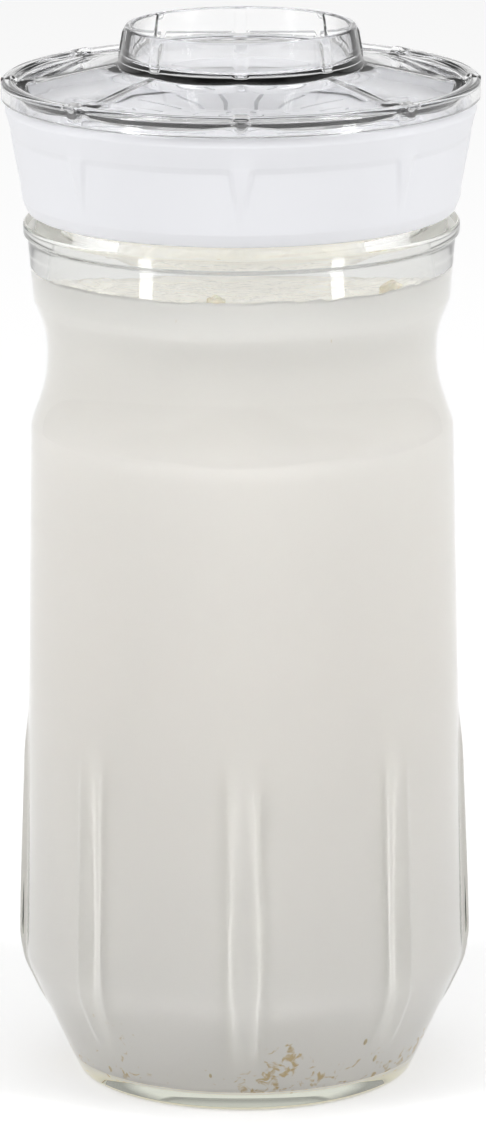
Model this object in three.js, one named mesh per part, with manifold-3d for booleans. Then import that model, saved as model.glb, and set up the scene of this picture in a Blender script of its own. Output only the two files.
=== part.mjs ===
import * as THREE from "three";
import { mergeVertices } from "three/addons/utils/BufferGeometryUtils.js";
import Module from "manifold-3d";

// Kefir fermentation jar: a ribbed glass jar of kefir and its grains, closed by a white screw
// collar that carries a strainer, under a clear lid. Millimetres, +Z up. The origin is the centre
// of the foot on the table, and a rib faces -Y.

// Fits and the pattern that all pieces share
const RIB_COUNT = 8;
const SEAT_GAP = 0.3;

// Glass jar, from the foot up
const GLASS_WALL = 2.7;
const GLASS_FLOOR = 3.8;
const FLOOR_ROUND = 3;
const FOOT_RADIUS = 32.7;
const FOOT_ROUND = 2;
const FOOT_RING_WIDTH = 6;
const PUNT_DEPTH = 1;
const CHAMFER_HEIGHT = 22.4;
const CORNER_RADIUS = 43.1;
const CORNER_ROUND = 9;
const BODY_HEIGHT = 107.6;
const SHOULDER_RADIUS = 41;
const SHOULDER_ROUND = 4;
const SHOULDER_SLOPE_HEIGHT = 9.4;
const WAIST_RADIUS = 37.7;
const WAIST_HEIGHT = 8.9;
const WAIST_ROUND = 32;
const NECK_SLOPE_HEIGHT = 6.7;
const BAND_FOOT_RADIUS = 40.3;
const BAND_TOP_RADIUS = 41.35;
const BAND_HEIGHT = 12.2;
const BAND_ROUND = 2;
const BEAD_STEP_HEIGHT = 0.6;
const BEAD_RADIUS = 42.15;
const BEAD_HEIGHT = 2.1;
const BEAD_ROUND = 0.9;
const NECK_FOOT_HEIGHT = 1.5;
const NECK_RADIUS = 38;
const NECK_HEIGHT = 12.6;
const THROAT_EASE = 2; // above the neck's foot, where the hollow has drawn in to the mouth
const THROAT_ROUND = 14;
const RIM_ROUND = 1;

// Ribs of the glass: highest just over the base corner, dying out up the body and down the chamfer
const RIB_HEIGHT = 1.6;
const RIB_TAIL_HEIGHT = 0.3;
const RIB_CREST_WIDTH = 2;
const RIB_FOOT_WIDTH = 8;
const RIB_LENGTH = 42;
const RIB_PEAK = 5.5;
const RIB_TAIL = 13;
const PANEL_FLAT = 0.6;

// Contents
const HEADSPACE = 24.4;
const SETTLED_GRAINS = [
  { azimuth: 7, height: 11, radius: 3.4 },
  { azimuth: -43, height: 12.5, radius: 1.9 },
  { azimuth: -11, height: 7, radius: 2.1 },
  { azimuth: 48, height: 8, radius: 2.3 },
];
const FLOATING_GRAINS = [
  { azimuth: -8, radius: 2.6 },
  { azimuth: 55, radius: 3 },
];
const GRAIN_FLOAT = 0.35; // share of its radius that a floating grain's centre stands above the milk
const LUMP_DEPTH = 0.25; // share of a grain's radius by which its lumps and hollows differ from a ball
const LUMP_TURNS = 5;
const POCKET_GAP = 0.5; // room that the milk leaves round a grain

// Gasket and strainer, stacked on the rim of the glass
const GASKET_THICKNESS = 1.5;
const GASKET_INSET = 0.25;
const STRAINER_THICKNESS = 1.8;
const STRAINER_OVERHANG = 0.9; // past the neck of the glass, for the collar to hold
const SLOT_WIDTH = 1.2;
const SLOT_MARGIN = 2.8; // from the mouth of the glass in to the outer slots
const OUTER_SLOT_LENGTH = 13.5;
const INNER_SLOT_LENGTH = 9;
const SLOT_BRIDGE = 3; // between the outer slots and the inner ones
const OUTER_SLOT_COUNT = 24;
const INNER_SLOT_COUNT = 12;

// Screw collar
const THREAD_ROOM = 1.6;
const COLLAR_GAP = 0.8;
const COLLAR_FOOT_WALL = 2.6;
const COLLAR_FOOT_HEIGHT = 2.5;
const COLLAR_FOOT_INSET = 1;
const COLLAR_TAPER = 2; // radius gained from the foot to the crease
const COLLAR_BAND_HEIGHT = 6.1;
const COLLAR_BAND_FLARE = 1.2; // radius gained from the crease to the top
const COLLAR_TOP_CHAMFER = 1.6;
const COLLAR_TOP_INSET = 0.8;
const COLLAR_WALL = 2.5;
const COLLAR_ROUND = 0.7;
const FLANGE_THICKNESS = 2;
const FLANGE_WIDTH = 4.2;
const SNAP_BEAD = 0.7;
const SNAP_BEAD_HEIGHT = 1.2;
const WELL_DEPTH = 3.4;
const FLUTE_DEPTH = 0.5;
const FLUTE_TOP_WIDTH = 4.4;
const FLUTE_FOOT_WIDTH = 1.2;
const FLUTE_FLANK = 0.9;

// Clear lid
const LID_OVERHANG = 0.7;
const LID_RIM_HEIGHT = 3.8;
const LID_RIM_WIDTH = 2.9;
const LID_RIM_ROUND = 0.9;
const LID_RIM_WALL = 1.8;
const LID_RIM_PLATE = 0.9; // over the groove under the rim
const LID_RIM_BEVEL = 0.6;
const LID_VALLEY_WIDTH = 0.9;
const LID_VALLEY_DEPTH = 1.1;
const LID_PLATE = 1.5;
const LID_RISE = 2.9;
const LID_SKIRT_WALL = 1.5;
const RING_RADIUS = 23.5;
const RING_WALL = 1.9;
const RING_HEIGHT = 7.2;
const RING_FILLET = 1.3;
const CUP_DEPTH = 6.4;
const CUP_FLOOR = 2.3;
const CUP_ROUND = 1.2;
const SPOKE_LENGTH = 5.7;
const SPOKE_CREST_WIDTH = 1.6;
const SPOKE_FOOT_WIDTH = 4.6;
const SPOKE_HEIGHT = 0.9;
const SPOKE_BUMP = 0.6; // over the rim
const SPOKE_RAMP = 0.5;
const CREASE_SHARE = 0.1; // width of the crease between two panels, as a share of a spoke's width
const RING_RIB_HEIGHT = 0.2;

// Facets of the round shapes
const ROUND_STEP_TURN = 55; // degrees that a rounded corner turns in one step
const ROUND_EDGE_SHARE = 0.48; // most of an edge that the round at one of its ends may take
const RIB_ROW_SHARES = [0, 0.3, 0.6, 1]; // rows of the jar's body, from the ribs' peak to their top
const PANEL_COLUMNS = 2;
const FLANK_COLUMNS = 2;
const HALF_COLUMNS = FLANK_COLUMNS + PANEL_COLUMNS;
const PLAIN_COLUMNS = 32;
const SLOT_END_STEPS = 2;
const GRAIN_DETAIL = 1;
const POCKET_DETAIL = 1;

// Heights that follow from the sizes above
const SHOULDER_Z = CHAMFER_HEIGHT + BODY_HEIGHT;
const WAIST_FOOT_Z = SHOULDER_Z + SHOULDER_SLOPE_HEIGHT;
const WAIST_TOP_Z = WAIST_FOOT_Z + WAIST_HEIGHT;
const BAND_FOOT_Z = WAIST_TOP_Z + NECK_SLOPE_HEIGHT;
const BAND_TOP_Z = BAND_FOOT_Z + BAND_HEIGHT;
const BEAD_FOOT_Z = BAND_TOP_Z + BEAD_STEP_HEIGHT;
const BEAD_TOP_Z = BEAD_FOOT_Z + BEAD_HEIGHT;
const NECK_FOOT_Z = BEAD_TOP_Z + NECK_FOOT_HEIGHT;
const RIM_Z = NECK_FOOT_Z + NECK_HEIGHT;
const MILK_Z = RIM_Z - HEADSPACE;
const GASKET_Z = RIM_Z + SEAT_GAP;
const STRAINER_Z = GASKET_Z + GASKET_THICKNESS + SEAT_GAP;
const FLANGE_Z = STRAINER_Z + STRAINER_THICKNESS + SEAT_GAP;
const WELL_Z = FLANGE_Z + FLANGE_THICKNESS;
const COLLAR_Z = NECK_FOOT_Z + COLLAR_GAP;
const COLLAR_TOP_Z = WELL_Z + WELL_DEPTH;
const LID_Z = COLLAR_TOP_Z + SEAT_GAP;

// Radii that follow from the sizes above
const MOUTH_RADIUS = NECK_RADIUS - GLASS_WALL;
const OUTER_SLOT_END = MOUTH_RADIUS - SLOT_MARGIN;
const INNER_SLOT_END = OUTER_SLOT_END - OUTER_SLOT_LENGTH - SLOT_BRIDGE;
const STRAINER_RADIUS = NECK_RADIUS + STRAINER_OVERHANG;
const STRAINER_POCKET = STRAINER_RADIUS + SEAT_GAP;
const COLLAR_BORE = NECK_RADIUS + THREAD_ROOM;
const COLLAR_FOOT_RADIUS = COLLAR_BORE + COLLAR_FOOT_WALL;
const COLLAR_CREASE_RADIUS = COLLAR_FOOT_RADIUS + COLLAR_TAPER;
const COLLAR_TOP_RADIUS = COLLAR_CREASE_RADIUS + COLLAR_BAND_FLARE;
const WELL_RADIUS = COLLAR_TOP_RADIUS - COLLAR_WALL;
const LID_RADIUS = COLLAR_TOP_RADIUS + LID_OVERHANG;
const LID_SKIRT_RADIUS = WELL_RADIUS - SEAT_GAP;

const { clamp, degToRad, inverseLerp, lerp, radToDeg, smoothstep } = THREE.MathUtils;
const wasm = await Module();
wasm.setup();

// Joining and cutting

function toSolid(geometry) {
  const bare = geometry.index ? geometry.toNonIndexed() : geometry.clone();
  bare.deleteAttribute("normal");
  bare.deleteAttribute("uv");
  const merged = mergeVertices(bare);
  const corners = merged.index.array;
  const triVerts = [];
  for (let i = 0; i < corners.length; i += 3) {
    const [a, b, c] = corners.subarray(i, i + 3);
    if (a !== b && b !== c && c !== a) triVerts.push(a, b, c);
  }
  const vertProperties = merged.getAttribute("position").array;
  return new wasm.Manifold(
    new wasm.Mesh({ numProp: 3, vertProperties, triVerts: new Uint32Array(triVerts) }),
  );
}

function toGeometry(solid) {
  const mesh = solid.getMesh();
  const geometry = new THREE.BufferGeometry();
  geometry.setAttribute("position", new THREE.BufferAttribute(mesh.vertProperties, 3));
  geometry.setIndex(new THREE.BufferAttribute(mesh.triVerts, 1));
  return geometry;
}

// Outlines in the half plane of radius and height

// The points of an outline given by its corners [radius, height, round].
function outline(corners, closed = false) {
  const at = (i) => corners[(i + corners.length) % corners.length];
  const points = corners.flatMap(([r, z, round = 0], i) => {
    const corner = new THREE.Vector2(r, z);
    const isEnd = !closed && (i === 0 || i === corners.length - 1);
    if (round === 0 || isEnd) return [corner];
    const before = new THREE.Vector2(...at(i - 1).slice(0, 2)).sub(corner);
    const after = new THREE.Vector2(...at(i + 1).slice(0, 2)).sub(corner);
    const opening = before.angleTo(after);
    const longest = ROUND_EDGE_SHARE * Math.min(before.length(), after.length());
    const reach = Math.min(round / Math.tan(opening / 2), longest);
    const steps = Math.max(1, Math.round((180 - radToDeg(opening)) / ROUND_STEP_TURN));
    const start = before.setLength(reach).add(corner);
    const end = after.setLength(reach).add(corner);
    return new THREE.QuadraticBezierCurve(start, corner, end).getPoints(steps);
  });
  return closed ? [...points, points[0].clone()] : points;
}

// A plain solid of revolution about Z.
function revolve(points, columns = PLAIN_COLUMNS) {
  return new THREE.LatheGeometry(points, columns).rotateX(Math.PI / 2);
}

// A solid of revolution with one rib in each of RIB_COUNT sectors. Each half sector has columns on
// the rib's centre line, at its crest's edge, at its foot and across the panel beside it.
// widths(point) gives the rib's crest and foot widths, and relief(point, crest, panel) gives the
// shift [radial, upward] of an outline point: crest is 1 on the rib and 0 beside it, and panel
// grows from 0 at the rib's foot to 1 in the middle of the panel.
function revolveRibbed(points, widths, relief) {
  const columns = 2 * HALF_COLUMNS * RIB_COUNT;
  const sector = (2 * Math.PI) / RIB_COUNT;
  const geometry = new THREE.LatheGeometry(points, columns);
  const position = geometry.getAttribute("position");
  for (let column = 0; column <= columns; column++) {
    const rib = Math.round(column / (2 * HALF_COLUMNS));
    const side = column - rib * 2 * HALF_COLUMNS;
    const step = Math.abs(side);
    const panel = Math.max(0, (step - FLANK_COLUMNS) / PANEL_COLUMNS);
    points.forEach((point, row) => {
      const { crest, foot } = widths(point);
      const reach = Math.max(point.x, 2 * foot);
      const flanks = [0, crest / 2 / reach, foot / 2 / reach];
      const turn = step <= FLANK_COLUMNS ? flanks[step] : lerp(flanks[FLANK_COLUMNS], sector / 2, panel);
      const angle = rib * sector + Math.sign(side) * turn - Math.PI / 2;
      const [out, up] = point.x > 0 ? relief(point, step < FLANK_COLUMNS ? 1 : 0, panel) : [0, 0];
      const radius = point.x + out;
      const index = column * points.length + row;
      position.setXYZ(index, radius * Math.cos(angle), radius * Math.sin(angle), point.y + up);
    });
  }
  return geometry;
}

// Glass jar

function bodyRadius(z) {
  return lerp(CORNER_RADIUS, SHOULDER_RADIUS, inverseLerp(CHAMFER_HEIGHT, SHOULDER_Z, z));
}

// The outline of the hollow, from the middle of the floor up to the mouth, for a wall this thick.
function hollowCorners(wall, floor) {
  const slope = (CORNER_RADIUS - FOOT_RADIUS) / CHAMFER_HEIGHT;
  const wallAcross = wall * Math.hypot(1, slope);
  return [
    [0, floor],
    [FOOT_RADIUS + slope * floor - wallAcross, floor, FLOOR_ROUND],
    [CORNER_RADIUS - wall, CHAMFER_HEIGHT + (wallAcross - wall) / slope, CORNER_ROUND],
    [SHOULDER_RADIUS - wall, SHOULDER_Z, SHOULDER_ROUND],
    [WAIST_RADIUS - wall, WAIST_FOOT_Z, WAIST_ROUND],
    [WAIST_RADIUS - wall, WAIST_TOP_Z, WAIST_ROUND],
    [BAND_FOOT_RADIUS - wall, BAND_FOOT_Z, THROAT_ROUND],
    [NECK_RADIUS - wall, NECK_FOOT_Z + THROAT_EASE, THROAT_ROUND],
    [NECK_RADIUS - wall, RIM_Z],
  ];
}

function glassJar() {
  const ribTop = CHAMFER_HEIGHT + RIB_LENGTH;
  const ribPeak = CHAMFER_HEIGHT + RIB_PEAK;
  const ribFoot = CHAMFER_HEIGHT - RIB_TAIL;
  const footInside = FOOT_RADIUS - FOOT_RING_WIDTH;
  const bodyRows = RIB_ROW_SHARES.map((share) => lerp(ribPeak, ribTop, share));
  const outside = [
    [0, PUNT_DEPTH],
    [footInside - PUNT_DEPTH, PUNT_DEPTH],
    [footInside, 0],
    [FOOT_RADIUS, 0, FOOT_ROUND],
    [lerp(FOOT_RADIUS, CORNER_RADIUS, ribFoot / CHAMFER_HEIGHT), ribFoot],
    [CORNER_RADIUS, CHAMFER_HEIGHT, CORNER_ROUND],
    ...bodyRows.map((z) => [bodyRadius(z), z]),
    [SHOULDER_RADIUS, SHOULDER_Z, SHOULDER_ROUND],
    [WAIST_RADIUS, WAIST_FOOT_Z, WAIST_ROUND],
    [WAIST_RADIUS, WAIST_TOP_Z, WAIST_ROUND],
    [BAND_FOOT_RADIUS, BAND_FOOT_Z, BAND_ROUND],
    [BAND_TOP_RADIUS, BAND_TOP_Z],
    [BEAD_RADIUS, BEAD_FOOT_Z],
    [BEAD_RADIUS, BEAD_TOP_Z, BEAD_ROUND],
    [NECK_RADIUS, NECK_FOOT_Z],
    [NECK_RADIUS, RIM_Z, RIM_ROUND],
  ];
  const inside = hollowCorners(GLASS_WALL, GLASS_FLOOR).reverse();
  const points = outline([...outside, ...inside]);
  const midWall = (z) => bodyRadius(z) - GLASS_WALL / 2;
  const chamferWall = (z) => lerp(FOOT_RADIUS, CORNER_RADIUS, z / CHAMFER_HEIGHT) - GLASS_WALL / 2;

  // Height of a rib over the panels at this height of the jar.
  function ribHeight(z) {
    if (z <= ribFoot || z >= ribTop) return 0;
    if (z < CHAMFER_HEIGHT) return RIB_TAIL_HEIGHT * inverseLerp(ribFoot, CHAMFER_HEIGHT, z);
    if (z < ribPeak) return lerp(RIB_TAIL_HEIGHT, RIB_HEIGHT, smoothstep(z, CHAMFER_HEIGHT, ribPeak));
    return RIB_HEIGHT * (1 - smoothstep(z, ribPeak, ribTop));
  }

  function relief({ x: r, y: z }, crest, panel) {
    const onSkin = r > Math.min(midWall(z), chamferWall(z));
    if (!onSkin || z >= ribTop) return [0, 0];
    const flatness = PANEL_FLAT * (ribHeight(z) / RIB_HEIGHT) * panel * (2 - panel);
    return [crest * ribHeight(z) - flatness, 0];
  }

  const widths = () => ({ crest: RIB_CREST_WIDTH, foot: RIB_FOOT_WIDTH });
  return revolveRibbed(points, widths, relief);
}

// Contents

// The milk's outline: the hollow drawn in by the seat gap and cut off at the milk's level.
function milkOutline() {
  const hollow = outline(hollowCorners(GLASS_WALL + SEAT_GAP, GLASS_FLOOR + SEAT_GAP));
  const under = hollow.filter((point) => point.y < MILK_Z);
  const below = under.at(-1);
  const above = hollow[under.length];
  const edge = lerp(below.x, above.x, inverseLerp(below.y, above.y, MILK_Z));
  return [...under, new THREE.Vector2(edge, MILK_Z), new THREE.Vector2(0, MILK_Z)];
}

// Radius of the hollow at a height, read off its outline.
function hollowRadius(z) {
  const hollow = outline(hollowCorners(GLASS_WALL, GLASS_FLOOR));
  const next = hollow.findIndex((point) => point.y > z);
  const below = hollow[next - 1];
  const above = hollow[next];
  return lerp(below.x, above.x, inverseLerp(below.y, above.y, z));
}

// A lumpy grain: a ball whose surface dips between its lumps, which reach the grain's radius.
function grain(radius) {
  const geometry = new THREE.IcosahedronGeometry(1, GRAIN_DETAIL);
  const position = geometry.getAttribute("position");
  const point = new THREE.Vector3();
  let farthest = 0;
  for (let i = 0; i < position.count; i++) {
    point.fromBufferAttribute(position, i);
    const across = Math.cos(LUMP_TURNS * point.x) * Math.cos(LUMP_TURNS * point.y);
    const wave = across * Math.cos(LUMP_TURNS * point.z);
    point.multiplyScalar(1 - LUMP_DEPTH * wave);
    farthest = Math.max(farthest, point.length());
    position.setXYZ(i, point.x, point.y, point.z);
  }
  return geometry.scale(radius / farthest, radius / farthest, radius / farthest);
}

// Where a grain lies: against the glass at its height, or afloat beside the glass.
function grainPlaces() {
  const slope = (CORNER_RADIUS - FOOT_RADIUS) / CHAMFER_HEIGHT;
  const lean = Math.hypot(1, slope);
  const settled = SETTLED_GRAINS.map(({ azimuth, height, radius }, i) => ({
    name: `settled_grain_${i + 1}`,
    azimuth,
    radius,
    z: height,
    r: hollowRadius(height) - (radius + SEAT_GAP) * lean,
  }));
  const floating = FLOATING_GRAINS.map(({ azimuth, radius }, i) => ({
    name: `floating_grain_${i + 1}`,
    azimuth,
    radius,
    z: MILK_Z + radius * GRAIN_FLOAT,
    r: hollowRadius(MILK_Z) - (radius + SEAT_GAP) * lean,
  }));
  return [...settled, ...floating];
}

// Azimuth 0 faces -Y and grows towards +X.
function grainPosition({ azimuth, r, z }) {
  const angle = degToRad(azimuth - 90);
  return new THREE.Vector3(r * Math.cos(angle), r * Math.sin(angle), z);
}

// The milk, with a pocket round each grain.
function kefir(places) {
  let solid = toSolid(revolve(milkOutline()));
  for (const place of places) {
    const pocket = new THREE.IcosahedronGeometry(place.radius + POCKET_GAP, POCKET_DETAIL);
    const { x, y, z } = grainPosition(place);
    solid = solid.subtract(toSolid(pocket.translate(x, y, z)));
  }
  return toGeometry(solid);
}

// Gasket and strainer

function rimGasket() {
  const inside = MOUTH_RADIUS + GASKET_INSET;
  const outside = NECK_RADIUS - GASKET_INSET;
  const section = [
    [inside, 0],
    [outside, 0],
    [outside, GASKET_THICKNESS],
    [inside, GASKET_THICKNESS],
  ];
  return revolve(outline(section, true));
}

// A radial slot through the strainer plate, with round ends.
function slot({ end, length }, azimuth) {
  const half = SLOT_WIDTH / 2;
  const shape = new THREE.Shape();
  shape.absarc(end - half, 0, half, -Math.PI / 2, Math.PI / 2);
  shape.absarc(end - length + half, 0, half, Math.PI / 2, (3 * Math.PI) / 2);
  const depth = 3 * STRAINER_THICKNESS;
  const geometry = new THREE.ExtrudeGeometry(shape, {
    depth,
    bevelEnabled: false,
    curveSegments: SLOT_END_STEPS,
  });
  return geometry.translate(0, 0, -STRAINER_THICKNESS).rotateZ(azimuth);
}

function strainer() {
  const slotRings = [
    { end: OUTER_SLOT_END, length: OUTER_SLOT_LENGTH, count: OUTER_SLOT_COUNT },
    { end: INNER_SLOT_END, length: INNER_SLOT_LENGTH, count: INNER_SLOT_COUNT },
  ];
  const section = [
    [0, 0],
    [STRAINER_RADIUS, 0],
    [STRAINER_RADIUS, STRAINER_THICKNESS],
    [0, STRAINER_THICKNESS],
  ];
  let solid = toSolid(revolve(outline(section)));
  for (const ring of slotRings) {
    for (let i = 0; i < ring.count; i++) {
      const azimuth = ((i + 0.5) / ring.count) * 2 * Math.PI;
      solid = solid.subtract(toSolid(slot(ring, azimuth)));
    }
  }
  return toGeometry(solid);
}

// Screw collar, drawn from its lower edge at height 0

function collar() {
  const top = COLLAR_TOP_Z - COLLAR_Z;
  const crease = top - COLLAR_BAND_HEIGHT;
  const well = WELL_Z - COLLAR_Z;
  const flange = FLANGE_Z - COLLAR_Z;
  const snap = STRAINER_Z - SEAT_GAP - COLLAR_Z;
  const fluteFoot = COLLAR_FOOT_HEIGHT;
  const midZ = lerp(fluteFoot, crease, 0.5);
  const midRadius = lerp(COLLAR_FOOT_RADIUS, COLLAR_CREASE_RADIUS, 0.5);
  const flangeInside = STRAINER_POCKET - FLANGE_WIDTH;
  const section = [
    [COLLAR_BORE, 0],
    [COLLAR_FOOT_RADIUS - COLLAR_FOOT_INSET, 0, COLLAR_ROUND],
    [COLLAR_FOOT_RADIUS, fluteFoot, COLLAR_ROUND],
    [midRadius, midZ],
    [COLLAR_CREASE_RADIUS, crease - COLLAR_ROUND],
    [COLLAR_CREASE_RADIUS, crease],
    [COLLAR_TOP_RADIUS, top - COLLAR_TOP_CHAMFER, COLLAR_ROUND],
    [COLLAR_TOP_RADIUS - COLLAR_TOP_INSET, top, COLLAR_ROUND],
    [WELL_RADIUS, top],
    [WELL_RADIUS, well],
    [flangeInside, well],
    [flangeInside, flange],
    [STRAINER_POCKET, flange],
    [STRAINER_POCKET, snap],
    [STRAINER_POCKET - SNAP_BEAD, snap - SNAP_BEAD / 2],
    [COLLAR_BORE, snap - SNAP_BEAD_HEIGHT],
  ];
  const skin = (r, z) => r > COLLAR_BORE + COLLAR_WALL / 2 && z > fluteFoot && z < crease;
  const widths = ({ y: z }) => {
    const crest = lerp(FLUTE_FOOT_WIDTH, FLUTE_TOP_WIDTH, clamp(inverseLerp(fluteFoot, crease, z), 0, 1));
    return { crest, foot: crest + 2 * FLUTE_FLANK };
  };
  const relief = ({ x: r, y: z }, crest) => [skin(r, z) ? (crest - 1) * FLUTE_DEPTH : 0, 0];
  return revolveRibbed(outline(section, true), widths, relief);
}

// Clear lid, drawn from the seat under its rim at height 0

function clearLid() {
  const skirtFoot = WELL_Z + SEAT_GAP - LID_Z;
  const skirtInside = LID_SKIRT_RADIUS - LID_SKIRT_WALL;
  const rimInside = LID_RADIUS - LID_RIM_WIDTH;
  const grooveOutside = LID_RADIUS - LID_RIM_WALL;
  const grooveTop = LID_RIM_HEIGHT - LID_RIM_PLATE;
  const valley = rimInside - LID_VALLEY_WIDTH;
  const valleyZ = LID_RIM_HEIGHT - LID_VALLEY_DEPTH;
  const spokeEnd = rimInside - SPOKE_LENGTH;
  const ringFoot = LID_RIM_HEIGHT + LID_RISE;
  const ringTop = ringFoot + RING_HEIGHT;
  const cupFloor = ringTop - CUP_DEPTH;
  const cupRadius = RING_RADIUS - RING_WALL;
  const plateSlope = (ringFoot - valleyZ) / (valley - RING_RADIUS);
  const plateTop = (r) => ringFoot - plateSlope * (r - RING_RADIUS);
  const plateRows = [skirtInside, spokeEnd, spokeEnd - SPOKE_RAMP];
  const under = [
    [0, cupFloor - CUP_FLOOR],
    [cupRadius, cupFloor - CUP_FLOOR],
    ...[RING_RADIUS, ...plateRows.toReversed()].map((r) => [r, plateTop(r) - LID_PLATE]),
    [skirtInside, skirtFoot],
    [LID_SKIRT_RADIUS, skirtFoot],
    [LID_SKIRT_RADIUS, grooveTop],
    [grooveOutside, grooveTop],
    [grooveOutside, 0],
  ];
  const over = [
    [LID_RADIUS, 0],
    [LID_RADIUS, LID_RIM_HEIGHT, LID_RIM_ROUND],
    [rimInside + LID_RIM_BEVEL, LID_RIM_HEIGHT],
    [valley, valleyZ],
    ...plateRows.map((r) => [r, plateTop(r)]),
    [RING_RADIUS, ringFoot, RING_FILLET],
    [RING_RADIUS, ringTop, RING_WALL / 2],
    [cupRadius, ringTop, RING_WALL / 2],
    [cupRadius, cupFloor, CUP_ROUND],
    [0, cupFloor],
  ];
  const onPlate = (r, z) => r > RING_RADIUS && r <= valley && z > plateTop(r) - LID_PLATE - SEAT_GAP;
  const onRim = (r, z) => r > valley && r < grooveOutside && z > grooveTop;
  const onRing = (r, z) => r > RING_RADIUS - RING_WALL / 2 && z > ringFoot && z < ringTop;

  // Height of a spoke over the creased plate: it runs level from the rim until it ends in a ramp.
  function spokeHeight(r) {
    const level = LID_RIM_HEIGHT + SPOKE_BUMP - plateTop(r);
    return r < spokeEnd ? 0 : clamp(level, 0, SPOKE_HEIGHT);
  }

  // A flat panel between two creases lies under the cone that the creases are on.
  function panelDrop(r, panel) {
    const middle = plateSlope * r * (1 / Math.cos(Math.PI / RIB_COUNT) - 1);
    return middle * panel * (2 - panel);
  }

  function relief({ x: r, y: z }, crest, panel) {
    if (onPlate(r, z)) return [0, crest * spokeHeight(r) - panelDrop(r, panel)];
    if (onRim(r, z)) return [0, crest * SPOKE_BUMP];
    return [onRing(r, z) ? crest * RING_RIB_HEIGHT : 0, 0];
  }

  function widths({ x: r }) {
    const isCreased = r > RING_RADIUS + RING_RIB_HEIGHT && r < rimInside;
    const share = isCreased ? lerp(CREASE_SHARE, 1, smoothstep(r, spokeEnd, rimInside)) : 1;
    return { crest: share * SPOKE_CREST_WIDTH, foot: share * SPOKE_FOOT_WIDTH };
  }

  return revolveRibbed(outline([...under, ...over]), widths, relief);
}

// Finishes

const glass = new THREE.MeshStandardMaterial({
  color: 0xe4eae4,
  roughness: 0.03,
  metalness: 0,
  transparent: true,
  opacity: 0.3,
});
const clearPlastic = new THREE.MeshStandardMaterial({
  color: 0xf2f4f6,
  roughness: 0.05,
  metalness: 0,
  transparent: true,
  opacity: 0.35,
});
const whitePlastic = new THREE.MeshStandardMaterial({ color: 0xe8e9ee, roughness: 0.42, metalness: 0 });
const silicone = new THREE.MeshStandardMaterial({ color: 0xdfe0dc, roughness: 0.7, metalness: 0 });
const milk = new THREE.MeshStandardMaterial({ color: 0xd8d5ce, roughness: 0.5, metalness: 0 });
const culture = new THREE.MeshStandardMaterial({ color: 0xd9cba6, roughness: 0.6, metalness: 0 });

// Assembly: the filled jar, and the closure stacked on its rim

function piece(name, geometry, material, z = 0) {
  const bare = geometry.clone();
  bare.deleteAttribute("normal");
  bare.deleteAttribute("uv");
  const smooth = mergeVertices(bare);
  smooth.computeVertexNormals();
  const mesh = new THREE.Mesh(smooth, material);
  mesh.name = name;
  mesh.position.z = z;
  return mesh;
}

const places = grainPlaces();
const grains = places.map((place) => {
  const mesh = piece(place.name, grain(place.radius), culture);
  mesh.position.copy(grainPosition(place));
  return mesh;
});

const filledJar = new THREE.Group();
filledJar.add(piece("glass_jar", glassJar(), glass), piece("kefir", kefir(places), milk), ...grains);

const closure = new THREE.Group();
closure.add(
  piece("rim_gasket", rimGasket(), silicone, GASKET_Z),
  piece("strainer", strainer(), whitePlastic, STRAINER_Z),
  piece("collar", collar(), whitePlastic, COLLAR_Z),
  piece("clear_lid", clearLid(), clearPlastic, LID_Z),
);

const kefirJar = new THREE.Group();
kefirJar.name = "kefir_jar";
kefirJar.add(filledJar, closure);

export default kefirJar;
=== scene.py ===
"""Looks of the kefir jar: fine meshes, finishes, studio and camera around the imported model."""

import logging
import math
from abc import ABC, abstractmethod
from dataclasses import dataclass
from enum import Enum
from typing import Mapping, Optional, Sequence, Union

import bpy
import numpy as np
from mathutils import Matrix, Vector


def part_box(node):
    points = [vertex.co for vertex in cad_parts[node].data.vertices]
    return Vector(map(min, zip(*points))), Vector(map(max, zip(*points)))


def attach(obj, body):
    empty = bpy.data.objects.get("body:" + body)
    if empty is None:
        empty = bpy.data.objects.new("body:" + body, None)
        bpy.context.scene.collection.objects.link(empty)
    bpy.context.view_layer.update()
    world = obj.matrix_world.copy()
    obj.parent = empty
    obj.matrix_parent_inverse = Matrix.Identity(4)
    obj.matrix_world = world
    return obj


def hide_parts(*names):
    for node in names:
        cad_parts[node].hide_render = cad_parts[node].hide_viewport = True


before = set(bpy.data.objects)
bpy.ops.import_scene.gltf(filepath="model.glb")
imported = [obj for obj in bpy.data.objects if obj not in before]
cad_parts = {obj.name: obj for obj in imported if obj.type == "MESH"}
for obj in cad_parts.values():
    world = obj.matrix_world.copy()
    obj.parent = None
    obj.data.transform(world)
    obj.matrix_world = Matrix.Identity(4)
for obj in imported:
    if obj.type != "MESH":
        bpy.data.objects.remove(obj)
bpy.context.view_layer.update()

LOG = logging.getLogger("kefir_jar")

MM = 0.001
RIB_COUNT = 8
SEAT_GAP = 0.3
LIGHT_BOUNCES = 32
TINY = 1e-6
NOISE_SPAN = (0.3, 0.7)

Colour = tuple[float, float, float]
Material = bpy.types.Material
Piece = bpy.types.Object
Socket = bpy.types.NodeSocket
Feed = Union[Socket, float, int, str, bool, tuple, list]
Feeds = Optional[Mapping[Union[str, int], Feed]]


class Body(str, Enum):
    """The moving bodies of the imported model."""

    JAR = "jar"
    GASKET = "gasket"
    STRAINER = "strainer"
    COLLAR = "collar"
    LID = "lid"


class Slot(str, Enum):
    """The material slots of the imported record."""

    GLASS = "glass"
    CLEAR_PLASTIC = "clear_plastic"
    WHITE_PLASTIC = "white_plastic"
    SILICONE = "silicone"
    KEFIR = "kefir"
    KEFIR_GRAIN = "kefir_grain"


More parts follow.
